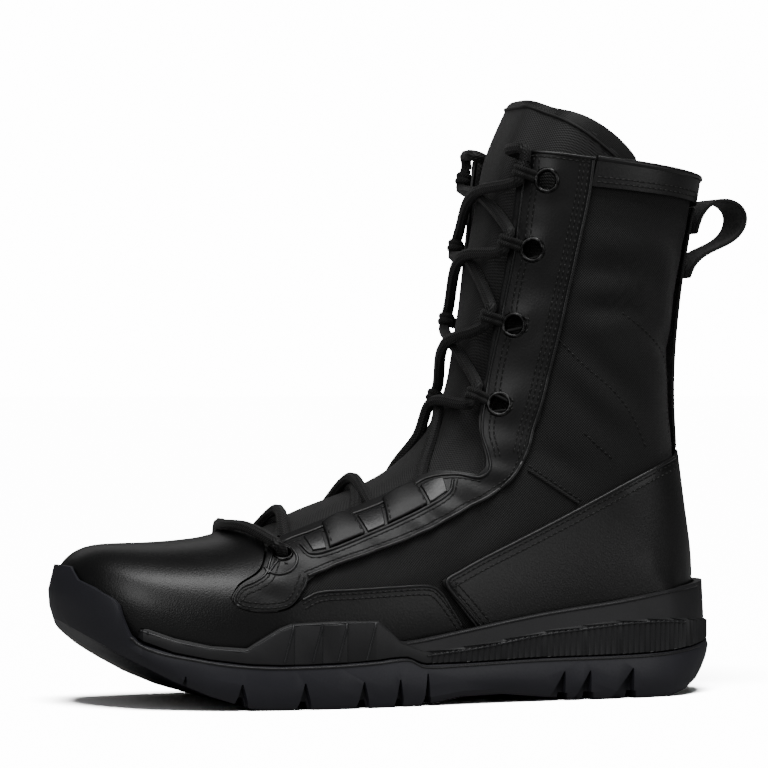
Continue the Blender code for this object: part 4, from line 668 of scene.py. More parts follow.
FACING_TAB = [
    (100.2, 55.0, 3.2), (95.5, 47.0, 2.6), (91.0, 43.0, 2.5), (84.0, 41.6, 2.5), (76.0, 41.8, 2.5),
    (69.5, 43.3, 2.4), (66.8, 46.8, 2.3), (70.5, 52.3, 2.2), (77.0, 55.0, 2.2), (82.0, 58.0, 2.0),
    (85.0, 63.0, 1.4), (87.6, 67.6, 0.9),
]
KEYHOLE = [
    (82.6, 61.6, 1.9), (85.4, 67.2, 1.3), (89.0, 69.6, 1.0), (93.1, 69.9, 1.1), (96.2, 68.0, 1.6),
    (97.2, 64.6, 2.1), (95.6, 61.0, 2.5), (92.0, 58.4, 2.5), (86.8, 57.6, 2.3), (83.2, 59.6, 2.1),
    (82.6, 61.6, 1.9),
]
FACING_SEAM = [
    (100.5, 70.0, 2.2), (103.5, 66.2, 2.8), (111.2, 67.2, 3.5), (130.2, 73.8, 4.5), (147.2, 80.2, 4.8),
    (163.1, 87.2, 4.2), (170.6, 92.0, 3.6), (172.8, 97.0, 3.0),
]
MUDGUARD = [
    (96.6, 47.2, 2.9), (104.0, 50.2, 3.2), (120.0, 51.0, 3.6), (139.5, 51.8, 3.8), (152.0, 52.2, 3.7),
    (157.6, 51.4, 3.4), (161.5, 48.4, 3.0), (165.6, 43.6, 2.4), (172.0, 35.2, 1.3),
]
COUNTER = [
    (181.0, 31.5, 1.2), (171.0, 42.4, 2.4), (163.4, 51.0, 3.2), (163.6, 54.4, 3.5), (170.0, 57.8, 3.4),
    (180.6, 62.8, 3.1), (200.0, 71.2, 2.0), (220.0, 80.2, 1.1), (238.0, 88.8, 0.5), (253.0, 96.2, 0.2),
    (267.0, 102.4, 0.1), (279.5, 106.8, 0.0),
]
FACING_TOP = [
    (205.0, 234.0, 0.1), (205.6, 239.6, 0.1), (207.6, 241.5, 0.2), (211.5, 241.3, 0.2), (218.4, 240.5, 0.2),
    (226.3, 239.4, 0.2), (234.4, 238.5, 0.2),
]
CUFF_LOW = [
    (236.0, 225.8, 0.2), (247.6, 224.8, 0.1), (260.5, 223.6, 0.0), (274.3, 222.4, 0.0), (289.0, 220.7, 0.0),
]
SHAFT_SEAMS = [
    [(220.9, 157.8, 0.5), (232.2, 146.8, 0.4), (246.0, 135.8, 0.3), (255.2, 124.7, 0.2),
     (262.0, 112.0, 0.1)],
    [(232.6, 116.8, 0.6), (238.4, 111.6, 0.6), (244.4, 106.6, 0.5)],
    [(250.5, 169.9, 0.1), (264.5, 160.7, 0.0), (276.0, 150.5, 0.0), (281.0, 137.5, 0.0),
     (279.0, 118.0, 0.0)],
]
SHAFT_RIDGE = [(206.5, 101.0, 1.4), (217.7, 93.6, 1.1), (229.0, 86.3, 0.8)]
# The facing's edges below and above its bend
REAR_LOW = FACING_REAR[:10]
REAR_HIGH = FACING_REAR[9:]
FRONT_LOW = FACING_FRONT[:9]
FRONT_HIGH = FACING_FRONT[10:]
LINE_STEP = 1.0
CAST_FROM = 0.2
NEAR_SIDE = 0.045


def smooth_route(points, spacing):
    """Points about a spacing apart on a smooth curve through a route."""
    points = np.array(points, float)
    run = np.concatenate(([0.0], np.cumsum(np.linalg.norm(np.diff(points, axis=0), axis=1))))
    slope = np.empty(points.shape)
    slope[1:-1] = (points[2:] - points[:-2]) / (run[2:] - run[:-2])[:, None]
    slope[0] = (points[1] - points[0]) / run[1]
    slope[-1] = (points[-1] - points[-2]) / (run[-1] - run[-2])
    at = np.linspace(0.0, run[-1], max(2, int(round(run[-1] / spacing)) + 1))
    low = np.clip(np.searchsorted(run, at, side="right") - 1, 0, len(run) - 2)
    step = (run[low + 1] - run[low])[:, None]
    share = (at - run[low])[:, None] / step
    left = 1.0 - share
    return (points[low] * (1 + 2 * share) * left ** 2 + points[low + 1] * (3 - 2 * share) * share ** 2
            + step * share * left * (slope[low] * left - slope[low + 1] * share))


def land(skin, x, z, side):
    """Where a point of the side view lies on a skin, and the skin's normal there."""
    start = Vector(((x - HEEL_CENTRE) * MM, side * CAST_FROM, z * MM))
    hit, normal, _, _ = skin.ray_cast(start, Vector((0.0, -side, 0.0)))
    if hit is None:
        hit, normal, _, _ = skin.find_nearest(Vector((start.x, side * NEAR_SIDE, start.z)))
    return hit, normal


def lay_line(skin, rows, side, aside=0.0, step=LINE_STEP):
    """Points and normals on a skin along a side view's line, moved to its left by aside."""
    rows = np.array(rows)
    flat = rows[:, :2].copy()
    if side > 0:
        flat[:, 1] -= rows[:, 2]
    flat = smooth_route(flat, step)
    run = np.gradient(flat, axis=0)
    run /= np.linalg.norm(run, axis=1, keepdims=True)
    flat += aside * np.stack((-run[:, 1], run[:, 0]), axis=1)
    landed = [land(skin, x, z, side) for x, z in flat]
    return np.array([spot for spot, _ in landed]), np.array([normal for _, normal in landed])


counter_seam = smooth_route([row[:2] for row in COUNTER], LINE_STEP)
print("the counter's seam is", round(len(counter_seam) * LINE_STEP), "mm long in the side view")

# %% [markdown]
# ## Lace tunnels
# Two bands are sewn across each facing, from its front edge down to the cord seam, and the lace
# runs behind them. Smooth flat pieces fill the places between. Both are leather that takes the
# curve of what it is sewn on, so a grid is laid on the facing, lifted, and given a thickness.

# %% Bands and flats across the facing
# From and to along the front edge, and from and to along the seam, in millimetres from the toe
TUNNEL_SPANS = [(112.6, 126.5, 112.0, 129.5), (141.5, 157.5, 139.8, 160.0)]
FLAT_SPANS = [(102.5, 111.2, 105.0, 110.8), (127.8, 140.2, 130.6, 138.6), (158.8, 169.0, 161.0, 169.5)]
GRID_CELLS = 14
BAND_THICKNESS = 1.2
# Lift, and swell over the lace, in millimetres, and the shares of the facing that a piece covers
TUNNEL_SHAPE = (0.75, 1.3, (-0.06, 0.93))
FLAT_SHAPE = (0.1, 0.0, (0.16, 0.92))


def facing_row(x_front, x_seam, share):
    """A row of the side view between the facing's front edge, at 0, and its seam, at 1."""
    ends = []
    for x, rows in ((x_front, FRONT_LOW), (x_seam, FACING_SEAM[1:])):
        along, height, drop = np.array(rows).T
        ends.append(np.array([x, np.interp(x, along, height), np.interp(x, along, drop)]))
    return ends[0] + (ends[1] - ends[0]) * share


def lay_band(name, skin, side, span, lift, swell, edges):
    """A leather band on a facing, lifted by so many millimetres and swollen over the lace."""
    bpy.ops.object.select_all(action="DESELECT")
    bpy.ops.mesh.primitive_grid_add(x_subdivisions=GRID_CELLS, y_subdivisions=GRID_CELLS, size=1.0)
    band = bpy.context.object
    band.name = name
    laid = []
    for u, v, _ in points_of(band) + 0.5:
        x_front, x_seam = (low + u * (high - low) for low, high in (span[:2], span[2:]))
        x, z, drop = facing_row(x_front, x_seam, edges[0] + v * (edges[1] - edges[0]))
        spot, normal = land(skin, x, z - max(side, 0) * drop, side)
        height = lift + swell * math.sin(math.pi * u) * (1.0 - v)
        laid.append(np.array(spot) + height * MM * np.array(normal))
    set_points(band, np.array(laid))
    wall = band.modifiers.new("thickness", "SOLIDIFY")
    wall.thickness = BAND_THICKNESS * MM
    wall.offset = 0.0
    bpy.ops.object.modifier_apply(modifier=wall.name)
    turn_outward(band)
    subdivide(band, 1)
    smooth_shade(band, 60.0)
    return band


tunnels = {name: [] for name in SIDES}
for name, side in SIDES.items():
    stay = skin_of(eyestays[name])
    for k, span in enumerate(TUNNEL_SPANS, 1):
        band = lay_band(f"tunnel_{name}_{k}", stay, side, span, *TUNNEL_SHAPE)
        band.data.materials.append(facing_leather)
        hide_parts(f"lace_tunnel_{name}_{k}")
        tunnels[name].append(settle(band))
    for k, span in enumerate(FLAT_SPANS, 1):
        flat = lay_band(f"facing_flat_{name}_{k}", stay, side, span, *FLAT_SHAPE)
        flat.data.materials.append(rolled_leather)
        settle(flat)
print("bands", len(TUNNEL_SPANS), "and flats", len(FLAT_SPANS), "on each side")

# %% [markdown]
# ## Rolled edges
# The cut edges of the facing, counter, mudguard and collar are folded over and rolled, and the
# facing has a raised cord seam under its bands. Each is a thin leather roll along its line. A
# bevel would follow every irregular edge of a panel; a swept round section follows the drawn line.


# %% Sweeping a section along a route
def frames_along(route, across):
    """Two directions across each point of a route, which turn as little as they can."""
    ahead = np.gradient(route, axis=0)
    ahead /= np.linalg.norm(ahead, axis=1, keepdims=True)
    first = np.empty_like(ahead)
    for k, way in enumerate(ahead):
        across = across - way * np.dot(across, way)
        across = across / np.linalg.norm(across)
        first[k] = across
    return first, np.cross(ahead, first)


def sweep(route, section, across=(0.0, 0.0, 1.0)):
    """Points, faces and UV of a closed skin: a section, in metres, carried along a route."""
    section = np.array(section)
    first, second = frames_along(route, np.array(across))
    points = (route[:, None] + section[None, :, :1] * first[:, None]
              + section[None, :, 1:] * second[:, None]).reshape(-1, 3)
    count = len(section)
    faces = []
    for k in range(len(route) - 1):
        for j in range(count):
            after = (j + 1) % count
            faces.append((k * count + j, k * count + after, (k + 1) * count + after, (k + 1) * count + j))
    faces.append(tuple(range(count))[::-1])
    faces.append(tuple(range((len(route) - 1) * count, len(route) * count)))
    girth = np.concatenate(([0.0], np.cumsum(np.linalg.norm(np.diff(section, axis=0), axis=1))))
    length = np.concatenate(([0.0], np.cumsum(np.linalg.norm(np.diff(route, axis=0), axis=1))))
    flat = np.stack(np.broadcast_arrays(girth[None, :], length[:, None]), axis=-1).reshape(-1, 2)
    return points, faces, flat


def join_swept(name, swept, material):
    """One piece out of several swept skins."""
    points, faces, flats = ([], [], [])
    for some_points, some_faces, flat in swept:
        start = sum(len(block) for block in points)
        points.append(some_points)
        faces += [tuple(start + k for k in face) for face in some_faces]
        flats.append(flat)
    mesh = bpy.data.meshes.new(name)
    mesh.from_pydata(np.concatenate(points).tolist(), [], faces)
    piece = add_piece(name, mesh, material)
    set_flat(piece, np.concatenate(flats))
    turn_outward(piece)
    smooth_shade(piece, 50.0)
    return settle(piece)


def round_section(radius, sides, lobes=0, ridge=0.0):
    """A round section, with ridges round it if it has lobes."""
    turn = np.linspace(0.0, 2.0 * math.pi, sides, endpoint=False)
    reach = radius * (1.0 + ridge * np.cos(lobes * turn))
    return np.stack((reach * np.cos(turn), reach * np.sin(turn)), axis=1)


print("sweep helpers ready")

# %% Rolled edges and the ridge seam
ROLL_SIDES = 10
RIDGE_RADIUS = 0.9


def roll_along(skin, rows, side, aside, radius, lift=0.0):
    """A thin roll that lies on a skin along a line."""
    spots, normals = lay_line(skin, rows, side, aside)
    return sweep(spots + lift * MM * normals, round_section(radius * MM, ROLL_SIDES))


for name, side in SIDES.items():
    stay, foot, heel = (skin_of(piece) for piece in (eyestays[name], vamp, counter))
    rolls = []
    # What carries the roll, its line, how far aside it lies and its radius, in millimetres
    for skin, rows, aside, radius in (
        (stay, FACING_REAR, 0.8, 0.95), (stay, FACING_FRONT, -0.6, 0.75), (stay, FACING_SEAM, 0.0, 0.8),
        (stay, FACING_TAB, -0.5, 0.65), (stay, KEYHOLE, 0.0, 0.7), (stay, FACING_TOP, -0.4, 0.8),
        (foot, MUDGUARD, -0.6, 0.7), (heel, COUNTER, -0.7, 0.8),
    ):
        rolls.append(roll_along(skin, rows, side, aside, radius))
    join_swept("rolled_edges_" + name, rolls, rolled_leather)
    ridge = roll_along(skin_of(shaft), SHAFT_RIDGE, side, 0.0, RIDGE_RADIUS)
    join_swept("shaft_ridge_" + name, [ridge], nylon)
print("rolled edges", len(rolls), "on each side")

# %% Rolled collar
RIM_DEPTH = 0.0006
RIM_BINS = 44
COLLAR_RADIUS = 1.5


def rim_route(piece, bins):
    """The upper rim of a piece that goes round the leg, as one route."""
    points = points_of(piece)
    turn = np.arctan2(points[:, 1], points[:, 0] - LEG_CENTRE)
    route = []
    for low in np.linspace(turn.min(), turn.max(), bins, endpoint=False):
        chosen = points[(turn >= low) & (turn < low + np.ptp(turn) / bins)]
        route.append(chosen[chosen[:, 2] > chosen[:, 2].max() - RIM_DEPTH].mean(axis=0))
    return smooth_route(route, LINE_STEP * MM)


collar_route = rim_route(cuff, RIM_BINS)
collar_roll = sweep(collar_route, round_section(COLLAR_RADIUS * MM, ROLL_SIDES))
join_swept("collar_roll", [collar_roll], rolled_leather)
print("collar roll", round(len(collar_route) * LINE_STEP), "mm")

# %% [markdown]
# ## Stitches
# Lock stitches show as short rounded bars with a small gap between them, in single, double or
# triple rows along the edges. One bar is modelled from a low sphere, flattened and stretched,
# and a copy goes to every place along its line, turned to the seam and laid on the leather.

# %% One stitch
STITCH_LENGTH = 2.1
STITCH_WIDTH = 0.85
STITCH_HEIGHT = 0.85
STITCH_PITCH = 2.8
# The dark strip of painted groove shade under each stitch row: its radius and how far its axis is sunk, in
# millimetres
GROOVE_SHADE_RADIUS = 0.75
GROOVE_SHADE_LIFT = -0.65
bpy.ops.object.select_all(action="DESELECT")
bpy.ops.mesh.primitive_uv_sphere_add(segments=8, ring_count=4, radius=0.5)
stitch = bpy.context.object
bpy.ops.object.mode_set(mode="EDIT")
bpy.ops.transform.rotate(value=math.radians(90.0), orient_axis="Y", center_override=(0.0, 0.0, 0.0))
bpy.ops.transform.resize(value=(STITCH_LENGTH * MM, STITCH_WIDTH * MM, STITCH_HEIGHT * MM))
bpy.ops.object.mode_set(mode="OBJECT")
stitch_points = points_of(stitch)
stitch_faces = [tuple(face.vertices) for face in stitch.data.polygons]
bpy.data.objects.remove(stitch)
stitch_span = np.ptp(stitch_points / MM, axis=0).round(2).tolist()
print("one stitch has", len(stitch_faces), "faces, and spans", stitch_span, "mm")


# %% Sewing along lines
def stitch_row(skin, rows, side, aside):
    """The place and turn of each stitch of a row."""
    spots, normals = lay_line(skin, rows, side, aside, STITCH_PITCH)
    ahead = np.gradient(spots, axis=0)
    ahead -= normals * np.einsum("ij,ij->i", ahead, normals)[:, None]
    ahead /= np.linalg.norm(ahead, axis=1, keepdims=True)
    turns = np.stack((ahead, np.cross(normals, ahead), normals), axis=1)
    return [(spot, turn) for spot, turn in zip(spots, turns)]


def sew(name, places):
    """One piece that holds a copy of the stitch at every place."""
    points = np.concatenate([spot + stitch_points @ turn for spot, turn in places])
    count = len(stitch_points)
    faces = [tuple(k * count + j for j in face) for k in range(len(places)) for face in stitch_faces]
    mesh = bpy.data.meshes.new(name)
    mesh.from_pydata(points.tolist(), [], faces)
    piece = add_piece(name, mesh, thread)
    smooth_shade(piece, 60.0)
    settle(piece)
    return len(places)


BAND_STITCH_INSET = 1.0
BAND_STITCH_SHARES = (0.0, 0.45, 0.9)
sewn = 0
for name, side in SIDES.items():
    carriers = (eyestays[name], vamp, counter, cuff, shaft)
    stay, foot, heel, collar, leg = (skin_of(piece) for piece in carriers)
    groove_shade_strips = []
    places = []
    # What carries the seam, its line, and how far aside each of its rows lies, in millimetres
    for skin, rows, asides in (
        (stay, REAR_LOW, (2.8,)), (stay, REAR_HIGH, (2.6, 4.6, 6.4)), (stay, FRONT_HIGH, (-3.4, -5.2)),
        (stay, FRONT_LOW, (-2.2,)), (stay, FACING_SEAM, (-1.7,)), (stay, FACING_TAB, (-1.9, -3.9)),
        (stay, FACING_TOP, (-2.4,)), (foot, MUDGUARD, (-2.2, -4.3)), (heel, COUNTER, (-2.6, -5.2)),
        (collar, CUFF_LOW, (2.0, 4.2)), *((leg, rows, (0.0,)) for rows in SHAFT_SEAMS),
        (leg, SHAFT_RIDGE, (1.8,)),
    ):
        for aside in asides:
            places += stitch_row(skin, rows, side, aside)
            # Along the leather rows, a dark strip of painted shade where the groove's shadow falls
            if skin is not leg:
                groove_shade_strips.append(roll_along(skin, rows, side, aside, GROOVE_SHADE_RADIUS, GROOVE_SHADE_LIFT))
    join_swept("stitch_shade_strips_" + name, groove_shade_strips, groove_shade_finish)
    for span, band in zip(TUNNEL_SPANS, tunnels[name]):
        for u, inset in ((0, BAND_STITCH_INSET), (1, -BAND_STITCH_INSET)):
            x_front, x_seam = (span[u] + inset, span[u + 2] + inset)
            rows = [facing_row(x_front, x_seam, share) for share in BAND_STITCH_SHARES]
            places += stitch_row(skin_of(band), rows, side, 0.0)
    sewn += sew("stitches_" + name, places)
print("stitches sewn", sewn)

# %% [markdown]
# ## Tongue
# The tongue is padded cloth whose top edge is wrapped in a ribbed binding, with a piping where
# the binding is sewn on. Its solid already stands as the photograph shows it, so a rounded copy
# gets the woven finish, its faces above the piping's line become the binding, and the piping is
# a thin roll over their border, down both sides and across the front.

# %% Tongue with its binding
TONGUE_PIPING = [
    (214.2, 262.6), (219.0, 260.0), (224.9, 256.6), (235.7, 249.4), (247.5, 240.3), (254.0, 234.5),
]
BINDING_SWELL = 0.35
PIPING_RADIUS = 0.8
PIPING_STEP = 4.0
PIPING_FRONT = 9
TONGUE_RUN = (0.65, 0.0, 0.86)
tongue = dress("tongue", tongue_cloth, 2, angle=60.0, weight=0.35)
tongue_points = points_of(tongue)
set_flat(tongue, np.stack((tongue_points[:, 1], tongue_points @ TONGUE_RUN), axis=1))
line_x, line_z = np.array(TONGUE_PIPING).T


def above_piping(points):
    """True on the part of the tongue that the binding wraps."""
    return points[:, 2] / MM > np.interp(points[:, 0] / MM + HEEL_CENTRE, line_x, line_z)


wrapped = above_piping(tongue_points)[:, None]
set_points(tongue, tongue_points + np.where(wrapped, BINDING_SWELL * MM, 0.0) * normals_of(tongue))
tongue.data.materials.append(binding)
centres = np.array([face.center for face in tongue.data.polygons])
tongue.data.polygons.foreach_set("material_index", above_piping(centres).astype(np.int32))
tongue_skin = skin_of(tongue)
piping_rows = [(x, z, 0.0) for x, z in TONGUE_PIPING]
outer, inner = (lay_line(tongue_skin, piping_rows, side, 0.0, PIPING_STEP)[0] for side in SIDES.values())
across_front = []
for y in np.linspace(inner[0][1], outer[0][1], PIPING_FRONT)[1:-1]:
    start = Vector((cad_low[0], y, piping_rows[0][1] * MM))
    across_front.append(tongue_skin.ray_cast(start, Vector((1.0, 0.0, 0.0)))[0])
piping_route = smooth_route(np.concatenate((inner[::-1], np.array(across_front), outer)), LINE_STEP * MM)
piping = sweep(piping_route, round_section(PIPING_RADIUS * MM, ROLL_SIDES))
join_swept("tongue_piping", [piping], binding)
print("tongue", len(tongue.data.polygons), "faces, piping", round(len(piping_route) * LINE_STEP), "mm")

# %% [markdown]
# ## Grommets
# A grommet is a turned metal ring: a low rolled flange, a crown and a bore. It is spun as a
# turner would draw it: a circle is extruded and resized from one radius of the profile to the
# next. One ring is modelled, and each of the ten copies is turned to the leather it sits in.

# %% One grommet
# Radius and height of each corner of the profile, in millimetres
RING_PROFILE = [
    (5.8, 2.5), (5.75, 2.95), (5.3, 3.4), (4.75, 3.55), (4.25, 3.35), (3.95, 2.8), (3.8, 1.6),
    (3.7, -1.6), (4.2, -1.6), (4.3, 2.4),
]
RING_SIDES = 28
RING_MERGE = 0.00001
bpy.ops.object.select_all(action="DESELECT")
bpy.ops.mesh.primitive_circle_add(vertices=RING_SIDES, radius=RING_PROFILE[0][0] * MM,
                                  location=(0.0, 0.0, RING_PROFILE[0][1] * MM))
ring = bpy.context.object
bpy.ops.object.transform_apply(location=True, rotation=False, scale=False)
bpy.ops.object.mode_set(mode="EDIT")
bpy.ops.mesh.select_all(action="SELECT")
for (radius, height), (next_radius, next_height) in zip(RING_PROFILE, RING_PROFILE[1:] + RING_PROFILE[:1]):
    bpy.ops.mesh.extrude_edges_move(
        TRANSFORM_OT_translate={"value": (0.0, 0.0, (next_height - height) * MM)})
    scale = next_radius / radius
    bpy.ops.transform.resize(value=(scale, scale, 1.0), center_override=(0.0, 0.0, next_height * MM))
bpy.ops.mesh.select_all(action="SELECT")
bpy.ops.mesh.remove_doubles(threshold=RING_MERGE)
bpy.ops.mesh.normals_make_consistent(inside=False)
bpy.ops.object.mode_set(mode="OBJECT")
ring_mesh = ring.data
print("one ring has", len(ring_mesh.polygons), "faces")

# %% Ten grommets
FRONT_RING_SCALE = 0.8


def stand(spot, normal, ahead):
    """A placing whose third axis is a normal, and whose first axis points ahead."""
    up = Vector(normal).normalized()
    first = (Vector(ahead) - up * Vector(ahead).dot(up)).normalized()
    turn = Matrix((first, up.cross(first), up)).transposed().to_4x4()
    return Matrix.Translation(Vector(spot) * MM) @ turn


for name, (spot, normal, ahead) in RINGS.items():
    mesh = ring_mesh.copy()
    if name.endswith("front"):
        mesh.transform(Matrix.Diagonal((FRONT_RING_SCALE, FRONT_RING_SCALE, 1.0, 1.0)))
    mesh.transform(stand(spot, normal, ahead))
    piece = add_piece("ring_" + name, mesh, steel)
    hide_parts("grommet_" + name)
    smooth_shade(piece, 60.0)
    settle(piece)
bpy.data.objects.remove(ring)
print("grommets", len(RINGS))

# %% [markdown]
# ## Webbing
# The pull loop and back strap are flat webbing, bent but never stretched, so rounded copies of
# their solids do. A keeper is a narrow webbing with two ribs that comes from under its ring and
# hooks round the lace, so its two-ribbed section is swept along that path.

# %% Loop, strap and keepers
# A keeper's path in millimetres ahead of its ring's centre and out from the leather
KEEPER_STEM = ((4.4, 1.9), (6.0, 3.5), (8.0, 4.9), (9.4, 6.4))
KEEPER_HOOK = (11.8, 4.9)
KEEPER_ROUND = 3.0
KEEPER_TURNS = (125.0, 80.0, 35.0, -10.0, -55.0, -100.0, -140.0)
KEEPER_STEP = 0.8
# Half the webbing's width, the points across it, half its thickness, and the ribs' height
KEEPER_HALF = 2.5
KEEPER_POINTS = 13
KEEPER_THIN = 0.25
KEEPER_RIB = 0.5
# The strap's low end, and how far it reaches on to tuck behind the counter, in millimetres
STRAP_END = 1.5
STRAP_TUCK = (0.4, 0.0, -3.0)
for node, levels in (("pull_loop", 3), ("back_strap", 2)):
    strap = dress(node, webbing, levels, angle=60.0, weight=0.9)
    strap_points = points_of(strap)
    set_flat(strap, strap_points[:, 1:])
    if node == "back_strap":
        low_end = strap_points[:, 2] < strap_points[:, 2].min() + STRAP_END * MM
        strap_points[low_end] += np.array(STRAP_TUCK) * MM
        set_points(strap, strap_points)
width = np.linspace(-KEEPER_HALF, KEEPER_HALF, KEEPER_POINTS)
half = KEEPER_THIN + KEEPER_RIB * np.abs(np.sin(math.pi * width / KEEPER_HALF))
two_ribs = np.concatenate((np.stack((width, half), axis=1), np.stack((width, -half), axis=1)[::-1])) * MM
turns = np.radians(KEEPER_TURNS)
hook = np.array(KEEPER_HOOK) + KEEPER_ROUND * np.stack((np.cos(turns), np.sin(turns)), axis=1)
keeper_path = np.concatenate((KEEPER_STEM, hook))
keeper_rings = [name for name in RINGS if not name.endswith("front")]
for name in keeper_rings:
    spot, normal, ahead = (np.array(row) for row in RINGS[name])
    route = np.array([spot + a * ahead + b * normal for a, b in keeper_path]) * MM
    swept = sweep(smooth_route(route, KEEPER_STEP * MM), two_ribs, np.cross(normal, ahead))
    keeper = join_swept("keeper_" + name, [swept], webbing)
    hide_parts("lace_keeper_" + name)
print("keepers", len(keeper_rings))

# %% [markdown]
# ## Lace
# One round cord, braided with lengthwise ribs, laces the boot: a bar over the vamp that dives
# into the front rings, then two strands that cross over the tongue, dip behind the facing's
# front edge under the leather bands, and turn in the keepers. Turns, crossings and ends lie on
# the solids' own points; behind the bands the lace keeps to the facing's edge. Where two strands
# cross, one goes over and the other under. The two ends tuck away behind the top corners.

# %% Lace points
LACE_RADIUS = 2.4
LACE_SIDES = 32
LACE_LOBES = 8
LACE_RIDGE = 0.07
LACE_STEP = 1.3
OVER_LIFT = 2.2
UNDER_LIFT = 0.6
EDGE_BITE = 1.2
END_SOFTENING = 4
# For each row from toe to top: the turning point in millimetres, and the way the lace runs there
TURNS = {
    "lateral": [
        ((-83.4, -23.0, 134.4), (0.374, 0.0, 0.927)), ((-77.4, -24.6, 168.7), (0.266, -0.169, 0.949)),
        ((-70.9, -30.4, 201.8), (0.271, -0.176, 0.947)), ((-65.7, -34.7, 232.3), (0.293, -0.159, 0.943)),
    ],
    "medial": [
        ((-82.7, 28.0, 133.5), (0.367, 0.017, 0.93)), ((-76.9, 28.0, 168.1), (0.276, 0.173, 0.945)),
        ((-70.4, 33.0, 201.5), (0.286, 0.169, 0.943)), ((-65.2, 36.3, 232.2), (0.303, 0.156, 0.94)),
    ],
}
# Behind each band: millimetres from the toe, how deep under the leather, and how far in
EDGE_RUNS = [
    [(97.5, 0.8, 6.5), (101.5, 3.2, 2.0), (111.0, 3.8, 0.6), (120.0, 3.8, 0.6), (126.5, 3.0, 1.6),
     (130.0, 0.8, 5.0)],
    [(138.0, 0.8, 5.0), (141.5, 3.0, 1.6), (149.0, 3.8, 0.6), (156.0, 3.2, 1.2), (160.0, 0.4, 4.0)],
]
# Where each strand climbs the tongue from its second band
CLIMBS = {
    "lateral": [(-105.0, -15.0, 107.0), (-100.0, -6.0, 119.0)],
    "medial": [(-104.5, 23.0, 105.0), (-100.0, 13.0, 118.0)],
}
CROSSINGS = [(-165.0, 5.5, 83.5), (-131.0, 6.5, 98.8), (-91.7, 4.4, 130.1), (-86.2, 2.5, 156.8),
             (-79.1, 1.5, 194.9), (-73.4, 1.0, 223.5)]
STRAND_STARTS = {"lateral": (-173.0, -20.0, 71.0), "medial": (-173.0, 30.0, 68.5)}
TURN_REACH = 4.6
# The bar's middle and its shoulders, then its dive: millimetres out from each front ring and ahead
FRONT_BAR = [(-188.9, 7.0, 77.3), (-185.5, -14.6, 76.8), (-185.4, 26.7, 76.6)]
BAR_DIVE = [(7.0, 3.2), (4.0, 0.6), (-1.5, 0.0)]
LACE_ENDS = {
    "lateral": [(-64.1, -35.5, 237.3), (-63.5, -35.9, 239.4), (-64.6, -36.3, 242.7), (-66.1, -20.9, 242.4),
                (-60.7, -20.9, 240.9), (-57.0, -25.6, 237.8), (-54.9, -28.3, 233.9)],
    "medial": [(-63.6, 37.2, 237.2), (-62.9, 37.5, 239.2), (-64.0, 38.0, 242.5), (-66.0, 22.7, 242.4),
               (-60.6, 22.6, 240.9), (-56.8, 27.1, 237.8), (-54.7, 29.5, 233.8)],
}
lace_section = round_section(LACE_RADIUS * MM, LACE_SIDES, LACE_LOBES, LACE_RIDGE)
ROUND_START = (0.0, 1.0, 0.0)
print("lace points", sum(len(rows) for rows in (*TURNS.values(), CROSSINGS)))


# %% Strands, bar and ends
def on_tongue(point, lift):
    """The tongue's point nearest to another one, lifted off the cloth, in millimetres."""
    spot, normal, _, _ = tongue_skin.find_nearest(Vector(point) * MM)
    return np.array(spot) / MM + lift * np.array(normal)


def behind_edge(name, x, sink, inward):
    """A point by a facing's front edge, sunk under its leather and moved in, in millimetres."""
    side = SIDES[name]
    _, z, drop = facing_row(x, x, 0.0)
    spot, normal = land(skin_of(eyestays[name]), x, z - max(side, 0) * drop - EDGE_BITE, side)
    return np.array(spot) / MM - sink * np.array(normal) + np.array((0.0, -side * inward, 0.0))


def strand_route(first, second, over):
    """One strand's points in millimetres, from its hidden start to the top keeper."""
    route = [np.array(STRAND_STARTS[second])]
    for k, crossing in enumerate(CROSSINGS):
        route.append(on_tongue(crossing, LACE_RADIUS * (OVER_LIFT if (k % 2 == 0) == over else UNDER_LIFT)))
        name = first if k % 2 == 0 else second
        if k < len(EDGE_RUNS):
            route += [behind_edge(name, *row) for row in EDGE_RUNS[k]]
            if k == len(EDGE_RUNS) - 1:
                route += [on_tongue(point, LACE_RADIUS * UNDER_LIFT) for point in CLIMBS[name]]
        else:
            spot, along = (np.array(row) for row in TURNS[name][k - len(EDGE_RUNS)])
            route += [spot - TURN_REACH * along, spot, spot + TURN_REACH * along]
    return smooth_route(np.array(route) * MM, LACE_STEP * MM)


def soften(route, passes):
    """A route whose bends are rounded by moving each point towards its neighbours."""
    for _ in range(passes):
        route[1:-1] = 0.25 * route[:-2] + 0.5 * route[1:-1] + 0.25 * route[2:]
    return route


strands = [sweep(strand_route("lateral", "medial", True), lace_section, ROUND_START),
           sweep(strand_route("medial", "lateral", False), lace_section, ROUND_START)]
lace = join_swept("lace_strands", strands, cord)
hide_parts("lace")

bar_route = [FRONT_BAR[0]]
for name, shoulder in zip(SIDES, FRONT_BAR[1:]):
    spot, normal, ahead = (np.array(row) for row in RINGS[name + "_front"])
    half_bar = [shoulder] + [spot + a * normal + b * ahead for a, b in BAR_DIVE]
    bar_route = half_bar[::-1] + bar_route if name == "lateral" else bar_route + half_bar
bar_route = smooth_route(np.array(bar_route) * MM, LACE_STEP * MM)
bar = join_swept("lace_bar", [sweep(bar_route, lace_section, ROUND_START)], cord)
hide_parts("lace_front_bar")

for name, rows in LACE_ENDS.items():
    route = soften(smooth_route(np.array(rows) * MM, LACE_STEP * MM), END_SOFTENING)
    end = join_swept("lace_tuck_" + name, [sweep(route, lace_section, ROUND_START)], cord)
    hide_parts("lace_end_" + name)

# %% [markdown]
# ## Sole
# The sole is moulded, so every edge has a small radius. A bevel on a copy of each solid gives
# those radii. A thin moulded lip runs along the upper edges of both parts and along the heel
# ribs, and slanting ridges cross the flex panel. They catch the bright lines that outline the
# sole in the photograph.

